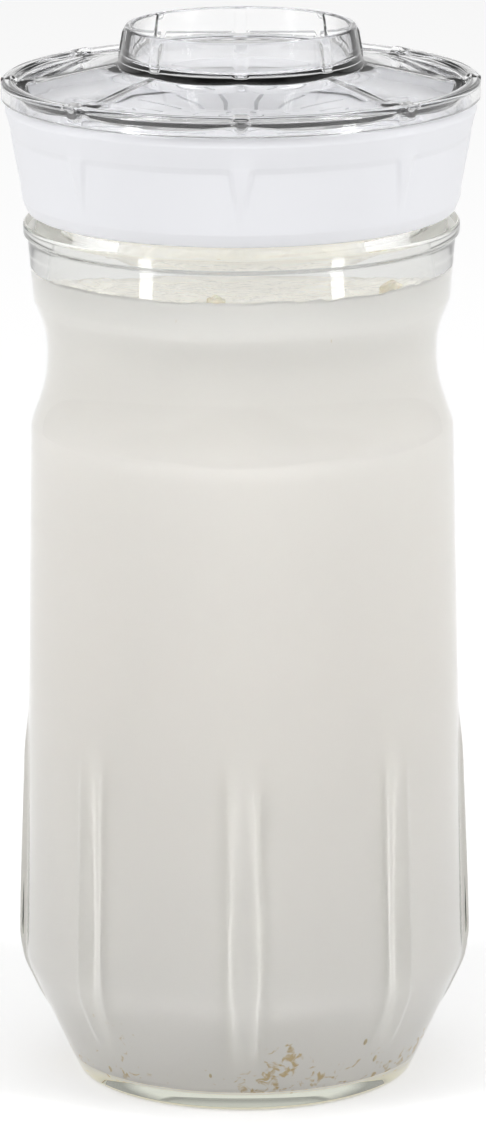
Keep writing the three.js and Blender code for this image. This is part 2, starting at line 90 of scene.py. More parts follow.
class Row(str, Enum):
    """Point attributes that a revolved mesh carries from row to row of its outline."""

    RIB_OUT = "rib_out"
    RIB_UP = "rib_up"
    RIB_WIDTH = "rib_width"
    PANEL_OUT = "panel_out"
    PANEL_UP = "panel_up"
    THREAD = "thread"
    CURD = "curd"
    SETTLING = "settling"


class SocketKind(str, Enum):
    """Kinds of input that a Geometry Nodes tree takes."""

    LENGTH = "NodeSocketFloat"
    COUNT = "NodeSocketInt"
    POINT = "NodeSocketVector"
    MATERIAL = "NodeSocketMaterial"


# Outlines and turned meshes


@dataclass(frozen=True)
class Corner:
    """A corner of an outline in the half plane of radius and height, in millimetres.

    round is the radius of the corner, and step the widest row spacing on the edge after it.
    """

    r: float
    z: float
    round: float = 0.0
    step: float = 5.0


@dataclass(frozen=True)
class Outline:
    """An outline of straight edges and rounded corners that a turned piece is spun from."""

    corners: Sequence[Corner]
    closed: bool = False
    arc_step: float = math.radians(8)
    edge_share: float = 0.48
    straight: float = math.radians(0.5)

    def rows(self) -> tuple[np.ndarray, np.ndarray]:
        """Works out the rows of the turned mesh.

        Returns:
            The rows as radius and height in millimetres, and the index of each row's corner.
        """
        arcs = [self._arc(i) for i in range(len(self.corners))]
        points: list[np.ndarray] = []
        owners: list[int] = []
        for i, arc in enumerate(arcs):
            points.extend(arc)
            owners.extend([i] * len(arc))
            if i + 1 == len(arcs) and not self.closed:
                break
            start, stop = arc[-1], arcs[(i + 1) % len(arcs)][0]
            count = math.ceil(float(np.linalg.norm(stop - start)) / self.corners[i].step)
            for k in range(1, count):
                points.append(start + (stop - start) * (k / count))
                owners.append(i)
        return np.array(points), np.array(owners)

    def _spot(self, i: int) -> np.ndarray:
        """The place of a corner, counted round the outline."""
        corner = self.corners[i % len(self.corners)]
        return np.array((corner.r, corner.z))

    def _arc(self, i: int) -> list[np.ndarray]:
        """Rounds a corner.

        Args:
            i: Index of the corner.

        Returns:
            The points of its round, or the corner itself where it is sharp.
        """
        corner = self.corners[i]
        spot = self._spot(i)
        is_end = not self.closed and i in (0, len(self.corners) - 1)
        if corner.round == 0 or is_end:
            return [spot]
        before, after = self._spot(i - 1) - spot, self._spot(i + 1) - spot
        long_before, long_after = np.linalg.norm(before), np.linalg.norm(after)
        before, after = before / long_before, after / long_after
        half = math.acos(max(-1.0, min(1.0, float(before @ after)))) / 2
        if math.pi - 2 * half < self.straight:
            return [spot]
        reach = min(corner.round / math.tan(half), self.edge_share * min(long_before, long_after))
        radius = reach * math.tan(half)
        middle = (before + after) / np.linalg.norm(before + after)
        centre = spot + middle * (radius / math.sin(half))
        start, stop = spot + before * reach - centre, spot + after * reach - centre
        turn = math.pi - 2 * half
        count = max(2, math.ceil(turn / self.arc_step))
        shares = np.linspace(0, 1, count + 1)
        blends = [
            (np.sin((1 - s) * turn) * start + np.sin(s * turn) * stop) / math.sin(turn) for s in shares
        ]
        return [centre + blend for blend in blends]


def smooth(low: float, high: float, value: Union[float, np.ndarray]) -> np.ndarray:
    """Rises smoothly from 0 at low to 1 at high."""
    share = np.clip((np.asarray(value, float) - low) / (high - low), 0, 1)
    return share * share * (3 - 2 * share)


@dataclass(frozen=True)
class Turning:
    """How a turned mesh is divided: its columns crowd at the ribs."""

    columns: int = 384
    crowding: float = 0.55

    def angles(self) -> np.ndarray:
        """Azimuths of the columns, from -Y towards +X."""
        even = np.arange(self.columns) / self.columns * 2 * math.pi
        return even - self.crowding * np.sin(RIB_COUNT * even) / RIB_COUNT

    def spin(
        self,
        name: str,
        rows: np.ndarray,
        closed: bool = False,
        marks: Optional[Mapping[Row, np.ndarray]] = None,
    ) -> Piece:
        """Spins an outline about Z.

        Args:
            name: Name of the new object.
            rows: The outline's rows, in millimetres.
            closed: True if the last row joins the first.
            marks: Values for each row, kept as point attributes.

        Returns:
            The object, its mesh in metres.
        """
        angles = self.angles()
        ring = np.stack([np.sin(angles), -np.cos(angles)], axis=1)
        spots: list[np.ndarray] = []
        starts: list[int] = []
        sizes: list[int] = []
        for r, z in rows:
            starts.append(sum(sizes))
            if r < TINY:
                spots.append(np.array([[0.0, 0.0, z]]))
            else:
                spots.append(np.column_stack([ring * r, np.full(len(ring), z)]))
            sizes.append(len(spots[-1]))
        faces: list[tuple[int, ...]] = []
        last = len(rows) if closed else len(rows) - 1
        for i in range(last):
            k = (i + 1) % len(rows)
            faces.extend(self._band(starts[i], sizes[i], starts[k], sizes[k]))
        mesh = bpy.data.meshes.new(name)
        mesh.from_pydata((np.concatenate(spots) * MM).tolist(), [], faces)
        for mark, values in (marks or {}).items():
            layer = mesh.attributes.new(mark.value, "FLOAT", "POINT")
            layer.data.foreach_set("value", np.repeat(values, sizes).astype(np.float32))
        mesh.shade_smooth()
        return show(name, mesh)

    def _band(self, low: int, low_size: int, high: int, high_size: int) -> list[tuple[int, ...]]:
        """Joins two rows, either of which may be a point on the axis.

        Args:
            low: Index of the first row's first point.
            low_size: Number of the first row's points.
            high: Index of the second row's first point.
            high_size: Number of the second row's points.

        Returns:
            The faces between the rows.
        """
        faces: list[tuple[int, ...]] = []
        for j in range(self.columns):
            k = (j + 1) % self.columns
            if low_size == 1:
                faces.append((low, high + k, high + j))
            elif high_size == 1:
                faces.append((low + j, low + k, high))
            else:
                faces.append((low + j, low + k, high + k, high + j))
        return faces


def show(name: str, mesh: bpy.types.Mesh) -> Piece:
    """Makes an object of a mesh and puts it in the scene.

    Args:
        name: Name of the new object.
        mesh: Its mesh.

    Returns:
        The object.
    """
    obj = bpy.data.objects.new(name, mesh)
    bpy.context.scene.collection.objects.link(obj)
    return obj


# Node trees


class NodeTree:
    """Adds nodes to a node tree of geometry, a material or the world."""

    def __init__(self, tree: bpy.types.NodeTree) -> None:
        """Takes the tree that the nodes go into."""
        self.tree = tree

    def node(self, kind: str, feeds: Feeds = None, **settings: object) -> bpy.types.Node:
        """Adds a node.

        Args:
            kind: The node's type.
            feeds: What goes into its inputs, by name or index: a socket, a list of sockets or a value.
            **settings: Its properties.

        Returns:
            The node.
        """
        node = self.tree.nodes.new(kind)
        for key, value in settings.items():
            setattr(node, key, value)
        for key, value in (feeds or {}).items():
            self.feed(node.inputs[key], value)
        return node

    def out(self, kind: str, feeds: Feeds = None, **settings: object) -> Socket:
        """Adds a node as node does, and returns its first output."""
        return self.node(kind, feeds, **settings).outputs[0]

    def feed(self, socket: Socket, value: Feed) -> None:
        """Feeds an input.

        Args:
            socket: The input.
            value: A socket or a list of sockets to link to it, or else the value that it gets.
        """
        if isinstance(value, (Socket, list)):
            for source in value if isinstance(value, list) else [value]:
                self.tree.links.new(source, socket)
        else:
            socket.default_value = value

    def math(self, operation: str, *values: Feed) -> Socket:
        """Adds a Math node and returns its result."""
        return self.out("ShaderNodeMath", dict(enumerate(values)), operation=operation)

    def times(self, first: Feed, *others: Feed) -> Socket:
        """Multiplies numbers, from left to right.

        Args:
            first: The first number.
            *others: The numbers that it is multiplied by.

        Returns:
            The product.
        """
        for other in others:
            first = self.math("MULTIPLY", first, other)
        return first

    def scaled(self, vector: Feed, scale: Feed) -> Socket:
        """Multiplies a vector by a number."""
        return self.out("ShaderNodeVectorMath", {0: vector, "Scale": scale}, operation="SCALE")

    def span(
        self, value: Feed, start: Feed, stop: Feed, low: float = 0.0, high: float = 1.0, eased: bool = False
    ) -> Socket:
        """Maps a number from one range to another.

        Args:
            value: The number.
            start: Where the result starts to change.
            stop: Where it stops changing.
            low: The result up to start.
            high: The result from stop on.
            eased: True to ease in and out, False for a straight line.

        Returns:
            The result.
        """
        feeds = {"Value": value, "From Min": start, "From Max": stop, "To Min": low, "To Max": high}
        shape = "SMOOTHSTEP" if eased else "LINEAR"
        return self.out("ShaderNodeMapRange", feeds, interpolation_type=shape)

    def ramp(self, value: Socket, stops: Sequence[tuple[float, Colour]]) -> Socket:
        """Turns a number into a colour.

        Args:
            value: The number, from 0 to 1.
            stops: The places and colours of the ramp.

        Returns:
            The colour.
        """
        ramp = self.node("ShaderNodeValToRGB", {0: value})
        elements = ramp.color_ramp.elements
        while len(elements) < len(stops):
            elements.new(1.0)
        for element, (spot, colour) in zip(elements, stops):
            element.position = spot
            element.color = (*colour, 1.0)
        return ramp.outputs["Color"]


class GeometryGraph(NodeTree, ABC):
    """A Geometry Nodes tree with named inputs, which ends in one realized mesh and one material."""

    title: str = "tree"

    def __init__(self) -> None:
        """Builds the tree."""
        super().__init__(bpy.data.node_groups.new(self.title, "GeometryNodeTree"))
        self._keys: dict[str, str] = {}
        for way in ("INPUT", "OUTPUT"):
            self.tree.interface.new_socket("Geometry", in_out=way, socket_type="NodeSocketGeometry")
        self.entry = self.tree.nodes.new("NodeGroupInput")
        material = self.input("Material", SocketKind.MATERIAL)
        realized = self.out("GeometryNodeRealizeInstances", {0: self.grow()})
        smoothed = self.out("GeometryNodeSetShadeSmooth", {0: realized})
        painted = self.out("GeometryNodeSetMaterial", {"Geometry": smoothed, "Material": material})
        self.node("NodeGroupOutput", {0: painted})

    @abstractmethod
    def grow(self) -> Socket:
        """Builds the shape and returns its geometry socket."""

    def input(self, name: str, kind: SocketKind = SocketKind.LENGTH) -> Socket:
        """Adds a named input.

        Args:
            name: Its name.
            kind: Its kind.

        Returns:
            The socket that gives it.
        """
        item = self.tree.interface.new_socket(name, in_out="INPUT", socket_type=kind.value)
        self._keys[name] = item.identifier
        return next(s for s in self.entry.outputs if s.identifier == item.identifier)

    def mark(self, row: Row) -> Socket:
        """Reads a point attribute."""
        return self.node("GeometryNodeInputNamedAttribute", {"Name": row.value}).outputs["Attribute"]

    def place(self) -> tuple[Socket, Socket, Socket]:
        """Reads the place of a point.

        Returns:
            Its x, y and z.
        """
        position = self.out("GeometryNodeInputPosition")
        split = self.node("ShaderNodeSeparateXYZ", {0: position})
        return split.outputs[0], split.outputs[1], split.outputs[2]

    def vector(self, x: Feed, y: Feed, z: Feed) -> Socket:
        """Joins three numbers into a vector."""
        return self.out("ShaderNodeCombineXYZ", {0: x, 1: y, 2: z})

    def azimuth(self, x: Socket, y: Socket) -> Socket:
        """The angle of a point about Z, from -Y towards +X."""
        return self.math("ARCTAN2", x, self.times(y, -1.0))

    def radius(self, x: Socket, y: Socket) -> Socket:
        """Distance of a point from Z, and never quite 0."""
        squares = self.math("ADD", self.math("POWER", x, 2.0), self.math("POWER", y, 2.0))
        return self.math("MAXIMUM", self.math("SQRT", squares), TINY)

    def push(self, out: Socket, up: Feed = 0.0) -> Socket:
        """Moves the points that come in.

        Args:
            out: Distance outwards from Z.
            up: Distance upwards.

        Returns:
            The moved geometry.
        """
        x, y, _ = self.place()
        share = self.math("DIVIDE", out, self.radius(x, y))
        offset = self.vector(self.times(x, share), self.times(y, share), up)
        return self.shift(self.entry.outputs["Geometry"], offset)

    def shift(self, geometry: Socket, offset: Socket) -> Socket:
        """Moves the points of a geometry by an offset."""
        return self.out("GeometryNodeSetPosition", {"Geometry": geometry, "Offset": offset})

    def carve(self, obj: Piece, material: Material, **sizes: object) -> None:
        """Runs the tree on an object and keeps the result as its plain mesh.

        Args:
            obj: The object whose mesh goes in, and which gets the result.
            material: The material of the result.
            **sizes: The tree's inputs, with underscores for the spaces in their names.
        """
        modifier = obj.modifiers.new(self.title, "NODES")
        modifier.node_group = self.tree
        modifier[self._keys["Material"]] = material
        for key, value in sizes.items():
            modifier[self._keys[key.replace("_", " ").capitalize()]] = value
        bpy.context.view_layer.update()
        depsgraph = bpy.context.evaluated_depsgraph_get()
        old = obj.data
        mesh = bpy.data.meshes.new_from_object(
            obj.evaluated_get(depsgraph), preserve_all_data_layers=True, depsgraph=depsgraph
        )
        obj.modifiers.remove(modifier)
        obj.data = mesh
        bpy.data.meshes.remove(old)
        mesh.name = obj.name


class ReliefGraph(GeometryGraph):
    """Raises evenly spaced ribs on a turned piece and dishes the panels between them."""

    title = "relief"

    def grow(self) -> Socket:
        """Builds the shape.

        Returns:
            Its geometry socket.
        """
        count = self.input("Count", SocketKind.COUNT)
        half_widths = [self.times(self.input(f"{part} width"), 0.5) for part in ("Crest", "Foot")]
        half_crest, half_foot = (self.times(half, self.mark(Row.RIB_WIDTH)) for half in half_widths)
        x, y, _ = self.place()
        radius, turn = self.radius(x, y), self.azimuth(x, y)
        sector = self.math("DIVIDE", 2 * math.pi, count)
        nearest = self.times(self.math("ROUND", self.math("DIVIDE", turn, sector)), sector)
        across = self.times(self.math("ABSOLUTE", self.math("SUBTRACT", turn, nearest)), radius)
        crest = self.span(across, half_crest, half_foot, 1.0, 0.0, eased=True)
        half_panel = self.math("SUBTRACT", self.times(sector, 0.5, radius), half_foot)
        share = self.math("DIVIDE", self.math("SUBTRACT", across, half_foot), half_panel)
        share = self.out("ShaderNodeClamp", {0: share})
        dish = self.times(share, self.math("SUBTRACT", 2.0, share))
        heights = [
            self.math("SUBTRACT", self.times(self.mark(rib), crest), self.times(self.mark(panel), dish))
            for rib, panel in ((Row.RIB_OUT, Row.PANEL_OUT), (Row.RIB_UP, Row.PANEL_UP))
        ]
        return self.push(*heights)

    def emboss(self, obj: Piece, material: Material, crest_width: float, foot_width: float) -> None:
        """Raises the ribs on a marked piece.

        Args:
            obj: The piece.
            material: Its material.
            crest_width: Width of a rib's crest, in millimetres.
            foot_width: Width of a rib's foot, in millimetres.
        """
        widths = {"crest_width": crest_width * MM, "foot_width": foot_width * MM}
        self.carve(obj, material, count=RIB_COUNT, **widths)


@dataclass(frozen=True)
class Screw:
    """The form of the screw thread, in millimetres, and the share of a turn in which its ends fade."""

    pitch: float = 5.0
    height: float = 1.0
    crest_width: float = 0.5
    foot_width: float = 2.2
    lead_in: float = 0.08


class ThreadGraph(GeometryGraph):
    """Raises a right-handed screw thread on the rows that are marked for it."""

    title = "thread"

    def grow(self) -> Socket:
        """Builds the shape.

        Returns:
            Its geometry socket.
        """
        names = ("Pitch", "Start", "Turns", "Crest width", "Foot width", "Height", "Lead in")
        pitch, start, turns, crest_width, foot_width, height, lead_in = map(self.input, names)
        x, y, z = self.place()
        turn = self.math("DIVIDE", self.azimuth(x, y), 2 * math.pi)
        rise = self.math("DIVIDE", self.math("SUBTRACT", z, start), pitch)
        nearest = self.math("ROUND", self.math("SUBTRACT", rise, turn))
        along = self.math("ADD", nearest, turn)
        away = self.times(self.math("ABSOLUTE", self.math("SUBTRACT", rise, along)), pitch)
        half_crest, half_foot = self.times(crest_width, 0.5), self.times(foot_width, 0.5)
        crest = self.span(away, half_crest, half_foot, 1.0, 0.0, eased=True)
        begin = self.span(along, 0.0, lead_in, eased=True)
        end = self.span(self.math("SUBTRACT", turns, along), 0.0, lead_in, eased=True)
        return self.push(self.times(crest, begin, end, height, self.mark(Row.THREAD)))

    def wind(
        self, obj: Piece, material: Material, start: float, turns: float, screw: Screw = Screw()
    ) -> None:
        """Winds the thread on a marked piece.

        Args:
            obj: The piece.
            material: Its material.
            start: Height at which the thread starts, in millimetres.
            turns: Its length in turns.
            screw: Its form.
        """
        names = ("pitch", "height", "crest_width", "foot_width")
        sizes = {name: getattr(screw, name) * MM for name in names}
        self.carve(obj, material, start=start * MM, turns=turns, lead_in=screw.lead_in, **sizes)


class CurdGraph(GeometryGraph):
    """Stirs the top of the kefir into curds."""

    title = "curd"
    stretch = (0.55, 1.0, 0.1)
    stirring = {"Detail": 3.0, "Roughness": 0.55, "Distortion": 0.9}

    def grow(self) -> Socket:
        """Builds the shape.

        Returns:
            Its geometry socket.
        """
        height, scale = self.input("Height"), self.input("Scale")
        position = self.out("GeometryNodeInputPosition")
        stretched = self.out("ShaderNodeVectorMath", {0: position, 1: self.stretch}, operation="MULTIPLY")
        feeds = {"Vector": stretched, "Scale": scale, **self.stirring}
        waves = self.out("ShaderNodeTexNoise", feeds)
        up = self.times(self.math("SUBTRACT", waves, 0.5), height, self.mark(Row.CURD))
        return self.shift(self.entry.outputs["Geometry"], self.vector(0.0, 0.0, up))


class GrainGraph(GeometryGraph):
    """Grows one lumpy grain of the culture."""

    title = "grain"
    crease_depth = 0.42
    subdivisions = 5
    lumps = {"Scale": 1.6, "Smoothness": 0.35, "Randomness": 1.0}

    def grow(self) -> Socket:
        """Builds the shape.

        Returns:
            Its geometry socket.
        """
        radius, seed = self.input("Radius"), self.input("Seed")
        centre = self.input("Centre", SocketKind.POINT)
        ball = self.out("GeometryNodeMeshIcoSphere", {"Radius": 1.0, "Subdivisions": self.subdivisions})
        normal = self.out("GeometryNodeInputNormal")
        feeds = {"Vector": normal, "W": seed, **self.lumps}
        cells = self.node("ShaderNodeTexVoronoi", feeds, voronoi_dimensions="4D", feature="SMOOTH_F1")
        size = self.math("SUBTRACT", 1.0, self.times(cells.outputs["Distance"], self.crease_depth))
        lumps = self.scaled(normal, self.times(size, radius))
        placed = self.out("ShaderNodeVectorMath", {0: lumps, 1: centre}, operation="ADD")
        return self.out("GeometryNodeSetPosition", {"Geometry": ball, "Position": placed})


class SpeckGraph(GeometryGraph):
    """Scatters small specks of the culture over the settling part of a surface."""

    title = "specks"
    subdivisions = 2
    least = (0.35, 0.5, 0.15)
    most = (1.0, 1.7, 0.3)

    def grow(self) -> Socket:
        """Builds the shape.

        Returns:
            Its geometry socket.
        """
        density, size = self.input("Density"), self.input("Size")
        seed = self.input("Seed", SocketKind.COUNT)
        spread = self.times(density, self.mark(Row.SETTLING))
        feeds = {"Mesh": self.entry.outputs["Geometry"], "Density": spread, "Seed": seed}
        points = self.node("GeometryNodeDistributePointsOnFaces", feeds).outputs
        speck = self.out("GeometryNodeMeshIcoSphere", {"Radius": size, "Subdivisions": self.subdivisions})
        feeds = {"Min": self.least, "Max": self.most, "Seed": seed}
        sizes = self.out("FunctionNodeRandomValue", feeds, data_type="FLOAT_VECTOR")
        feeds = {
            "Points": points["Points"], "Instance": speck, "Rotation": points["Rotation"], "Scale": sizes
        }
        return self.out("GeometryNodeInstanceOnPoints", feeds)


class StrainerGraph(GeometryGraph):
    """Cuts two rings of slots in a round plate."""

    title = "strainer"
    edge_points = 160
    fillet_share = 0.49
    fillet_points = 6

    def grow(self) -> Socket:
        """Builds the shape.

        Returns:
            Its geometry socket.
        """
        radius, thickness, height, width = map(self.input, ("Radius", "Thickness", "Height", "Slot width"))
        feeds = {"Resolution": self.edge_points, "Radius": radius}
        edge = self.out("GeometryNodeCurvePrimitiveCircle", feeds)
        rings = [self._slots(name, width) for name in ("Outer", "Inner")]
        curves = self.out("GeometryNodeJoinGeometry", {0: [edge, *rings]})
        face = self.out("GeometryNodeFillCurve", {0: curves})
        feeds = {"Mesh": face, "Offset": (0.0, 0.0, 1.0), "Offset Scale": thickness, "Individual": False}
        raised = self.out("GeometryNodeExtrudeMesh", feeds)
        under = self.out("GeometryNodeFlipFaces", {0: face})
        whole = self.out("GeometryNodeJoinGeometry", {0: [raised, under]})
        feeds = {"Geometry": whole, "Distance": TINY}
        merged = self.out("GeometryNodeMergeByDistance", feeds)
        return self.shift(merged, self.vector(0.0, 0.0, height))

    def _slots(self, ring: str, width: Socket) -> Socket:
        """Lays out one ring of slots.

        Args:
            ring: Which ring, as its inputs are named.
            width: Width of a slot.

        Returns:
            The outlines of its slots, as a curve.
        """
        end, length = self.input(f"{ring} slot end"), self.input(f"{ring} slot length")
        count = self.input(f"{ring} slot count", SocketKind.COUNT)
        feeds = {"Width": length, "Height": width}
        bar = self.out("GeometryNodeCurvePrimitiveQuadrilateral", feeds)
        fillet = self.times(width, self.fillet_share)
        feeds = {"Curve": bar, "Radius": fillet, "Count": self.fillet_points}
        slot = self.out("GeometryNodeFilletCurve", feeds, mode="POLY")
        middle = self.math("SUBTRACT", end, self.times(length, 0.5))
        circle = self.out("GeometryNodeMeshCircle", {"Vertices": count, "Radius": middle})
        x, y, _ = self.place()
        facing = self.vector(0.0, 0.0, self.math("ARCTAN2", y, x))
        feeds = {"Points": circle, "Instance": slot, "Rotation": facing}
        turned = self.out("GeometryNodeInstanceOnPoints", feeds)
        realized = self.out("GeometryNodeRealizeInstances", {0: turned})
        step = self.vector(0.0, 0.0, self.math("DIVIDE", math.pi, count))
        return self.out("GeometryNodeTransform", {"Geometry": realized, "Rotation": step})


# Finishes


class Shader(NodeTree):
    """A material under construction, around one Principled shader."""

    def __init__(self, name: str) -> None:
        """Starts a material.

        Args:
            name: Its name.
        """
        self.material = bpy.data.materials.new(name)
        self.material.use_nodes = True
        super().__init__(self.material.node_tree)
        self.bsdf = self.tree.nodes["Principled BSDF"]
        self.output = self.tree.nodes["Material Output"]
        self.place = self.node("ShaderNodeTexCoord").outputs["Object"]

    def set(self, **values: Feed) -> None:
        """Sets or links inputs of the Principled shader, with underscores for spaces."""
        for key, value in values.items():
            self.feed(self.bsdf.inputs[key.replace("_", " ")], value)

    def noise(self, scale: float, detail: float = 2.0, distortion: float = 0.0) -> Socket:
        """Noise over the object, about 0.5 on average."""
        feeds = {"Vector": self.place, "Scale": scale, "Detail": detail, "Distortion": distortion}
        return self.node("ShaderNodeTexNoise", feeds).outputs["Fac"]

    def blend(self, noise: Socket, shade: Colour, colour: Colour) -> Socket:
        """Goes from a shade to a colour over the middle of a noise."""
        start, stop = NOISE_SPAN
        return self.ramp(noise, [(start, shade), (stop, colour)])

    def bump(self, height: Socket, strength: float, distance: float) -> None:
        """Bumps the surface by a height from 0 to 1 over a distance in metres."""
        feeds = {"Strength": strength, "Distance": distance, "Height": height}
        self.set(Normal=self.out("ShaderNodeBump", feeds))


class Finish(ABC):
    """A finish that makes one material."""

    @abstractmethod
    def make(self) -> Material:
        """Makes the material."""


@dataclass(frozen=True)
class ClearFinish(Finish):
    """Clear glass or plastic: polished, with a faint ripple, and tinted where it is thick."""

    name: str
    ior: float
    tint: Colour
    absorption: float
    ripple: float
    ripple_scale: float = 45.0
    roughness: float = 0.0

    def make(self) -> Material:
        """Makes the material.

        Returns:
            The material.
        """
        shader = Shader(self.name)
        shader.set(
            Base_Color=(1.0, 1.0, 1.0, 1.0),
            Roughness=self.roughness,
            IOR=self.ior,
            Transmission_Weight=1.0,
        )
        shader.bump(shader.noise(self.ripple_scale, detail=1.0), self.ripple, MM)
        feeds = {"Color": (*self.tint, 1.0), "Density": self.absorption}
        depth = shader.out("ShaderNodeVolumeAbsorption", feeds)
        shader.feed(shader.output.inputs["Volume"], depth)
        return shader.material


@dataclass(frozen=True)
class SatinFinish(Finish):
    """Moulded plastic or silicone with a satin skin; its glow, where set, is painted light."""

    name: str
    colour: Colour
    shade: Colour
    roughness: tuple[float, float]
    drift_scale: float = 22.0
    grain_scale: float = 1400.0
    grain_strength: float = 0.25
    grain_depth: float = 0.00002
    glow: float = 0.0

    def make(self) -> Material:
        """Makes the material.

        Returns:
            The material.
        """
        shader = Shader(self.name)
        drift = shader.noise(self.drift_scale)
        grain = shader.noise(self.grain_scale, detail=3.0)
        shader.set(
            Base_Color=shader.blend(drift, self.shade, self.colour),
            Roughness=shader.span(grain, 0.0, 1.0, *self.roughness),
            Emission_Color=(*self.colour, 1.0),
            Emission_Strength=self.glow,
        )
        shader.bump(grain, self.grain_strength, self.grain_depth)
        return shader.material


@dataclass(frozen=True)
class KefirFinish(Finish):
    """Fermented milk, softly mottled by its curds; its glow is painted light, an emission that stands in
    for the light it scatters.

    levels gives its colour at heights in millimetres, from low to high; in the milk its lightening towards
    the top is painted light and its darkening lower down painted shade. Crumbs of the culture lie in it,
    thicker towards the floor: silt_lift is what is added to their noise at the floor and at silt_height,
    and silt_edge the span of the noise over which they show.
    """

    name: str
    levels: Sequence[tuple[float, Colour]]
    mottling: float
    roughness: float
    gloss: float
    glow: float = 0.0
    mottle_scale: float = 38.0
    silt: Colour = (0.6, 0.47, 0.26)
    silt_height: float = 0.0
    silt_lift: tuple[float, float] = (0.14, -0.3)
    silt_edge: tuple[float, float] = (1.15, 1.31)
    heap_scale: float = 75.0
    crumb_scale: float = 520.0

    def make(self) -> Material:
        """Makes the material.

        Returns:
            The material.
        """
        shader = Shader(self.name)
        curds = shader.noise(self.mottle_scale, detail=4.0, distortion=0.6)
        mottle = shader.span(curds, 0.0, 1.0, 1 - self.mottling, 1.0)
        low, high = self.levels[0][0] * MM, self.levels[-1][0] * MM
        height = shader.node("ShaderNodeSeparateXYZ", {0: shader.place}).outputs["Z"]
        stops = [((z * MM - low) / (high - low), colour) for z, colour in self.levels]
        tone = shader.scaled(shader.ramp(shader.span(height, low, high), stops), mottle)
        if self.silt_height > 0:
            tone = self._settle(shader, tone, height)
        # Emission_Strength is a painted glow: light painted into the surface, not a lamp.
        shader.set(
            Base_Color=tone,
            Roughness=self.roughness,
            Specular_IOR_Level=self.gloss,
            Emission_Color=(*self.levels[-1][1], 1.0),
            Emission_Strength=self.glow,
        )
        return shader.material

    def _settle(self, shader: Shader, tone: Socket, height: Socket) -> Socket:
        """Scatters crumbs through the milk near the floor.

        Args:
            shader: The material under construction.
            tone: The milk's colour.
            height: Height over the floor in metres.

        Returns:
            The colour with the crumbs in it.
        """
        depth = shader.span(height, 0.0, self.silt_height * MM, *self.silt_lift)
        heaps = shader.math("ADD", shader.noise(self.heap_scale, detail=1.0), depth)
        both = shader.math("ADD", heaps, shader.noise(self.crumb_scale, distortion=0.8))
        share = shader.span(both, *self.silt_edge, eased=True)
        feeds = {"Factor": share, "A": tone, "B": (*self.silt, 1.0)}
        return shader.node("ShaderNodeMix", feeds, data_type="RGBA").outputs["Result"]


@dataclass(frozen=True)
class GrainFinish(Finish):
    """Kefir grains: tan, wet and a little see-through."""

    name: str
    colour: Colour
    shade: Colour
    roughness: float = 0.35
    gloss: float = 0.15
    depth: float = 0.25
    reach: Colour = (1.0, 0.7, 0.4)
    reach_scale: float = 2.0
    mottle_scale: float = 420.0
    pore_scale: float = 900.0
    pore_strength: float = 0.4
    pore_depth: float = 0.2

    def make(self) -> Material:
        """Makes the material.

        Returns:
            The material.
        """
        shader = Shader(self.name)
        mottle = shader.noise(self.mottle_scale, detail=4.0, distortion=0.4)
        shader.set(
            Base_Color=shader.blend(mottle, self.shade, self.colour),
            Roughness=self.roughness,
            Specular_IOR_Level=self.gloss,
            Subsurface_Weight=self.depth,
            Subsurface_Radius=self.reach,
            Subsurface_Scale=self.reach_scale * MM,
        )
        shader.bump(shader.noise(self.pore_scale), self.pore_strength, self.pore_depth * MM)
        return shader.material


# Sub-assemblies


class SubAssembly(ABC):
    """A piece of the jar that builds its own mesh, dresses it and rides on its body."""

    body: Body
    slot: Slot
    nodes: tuple[str, ...] = ()

    @abstractmethod
    def build(self) -> Piece:
        """Builds and dresses the piece."""

    def mount(self) -> Piece:
        """Builds the piece and puts it on its body in place of its CAD nodes.

        Returns:
            The piece.
        """
        obj = self.build()
        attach(obj, self.body.value)
        if self.nodes:
            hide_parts(*self.nodes)
        LOG.info("%s: %d faces on body %s", obj.name, len(obj.data.polygons), self.body.value)
        return obj


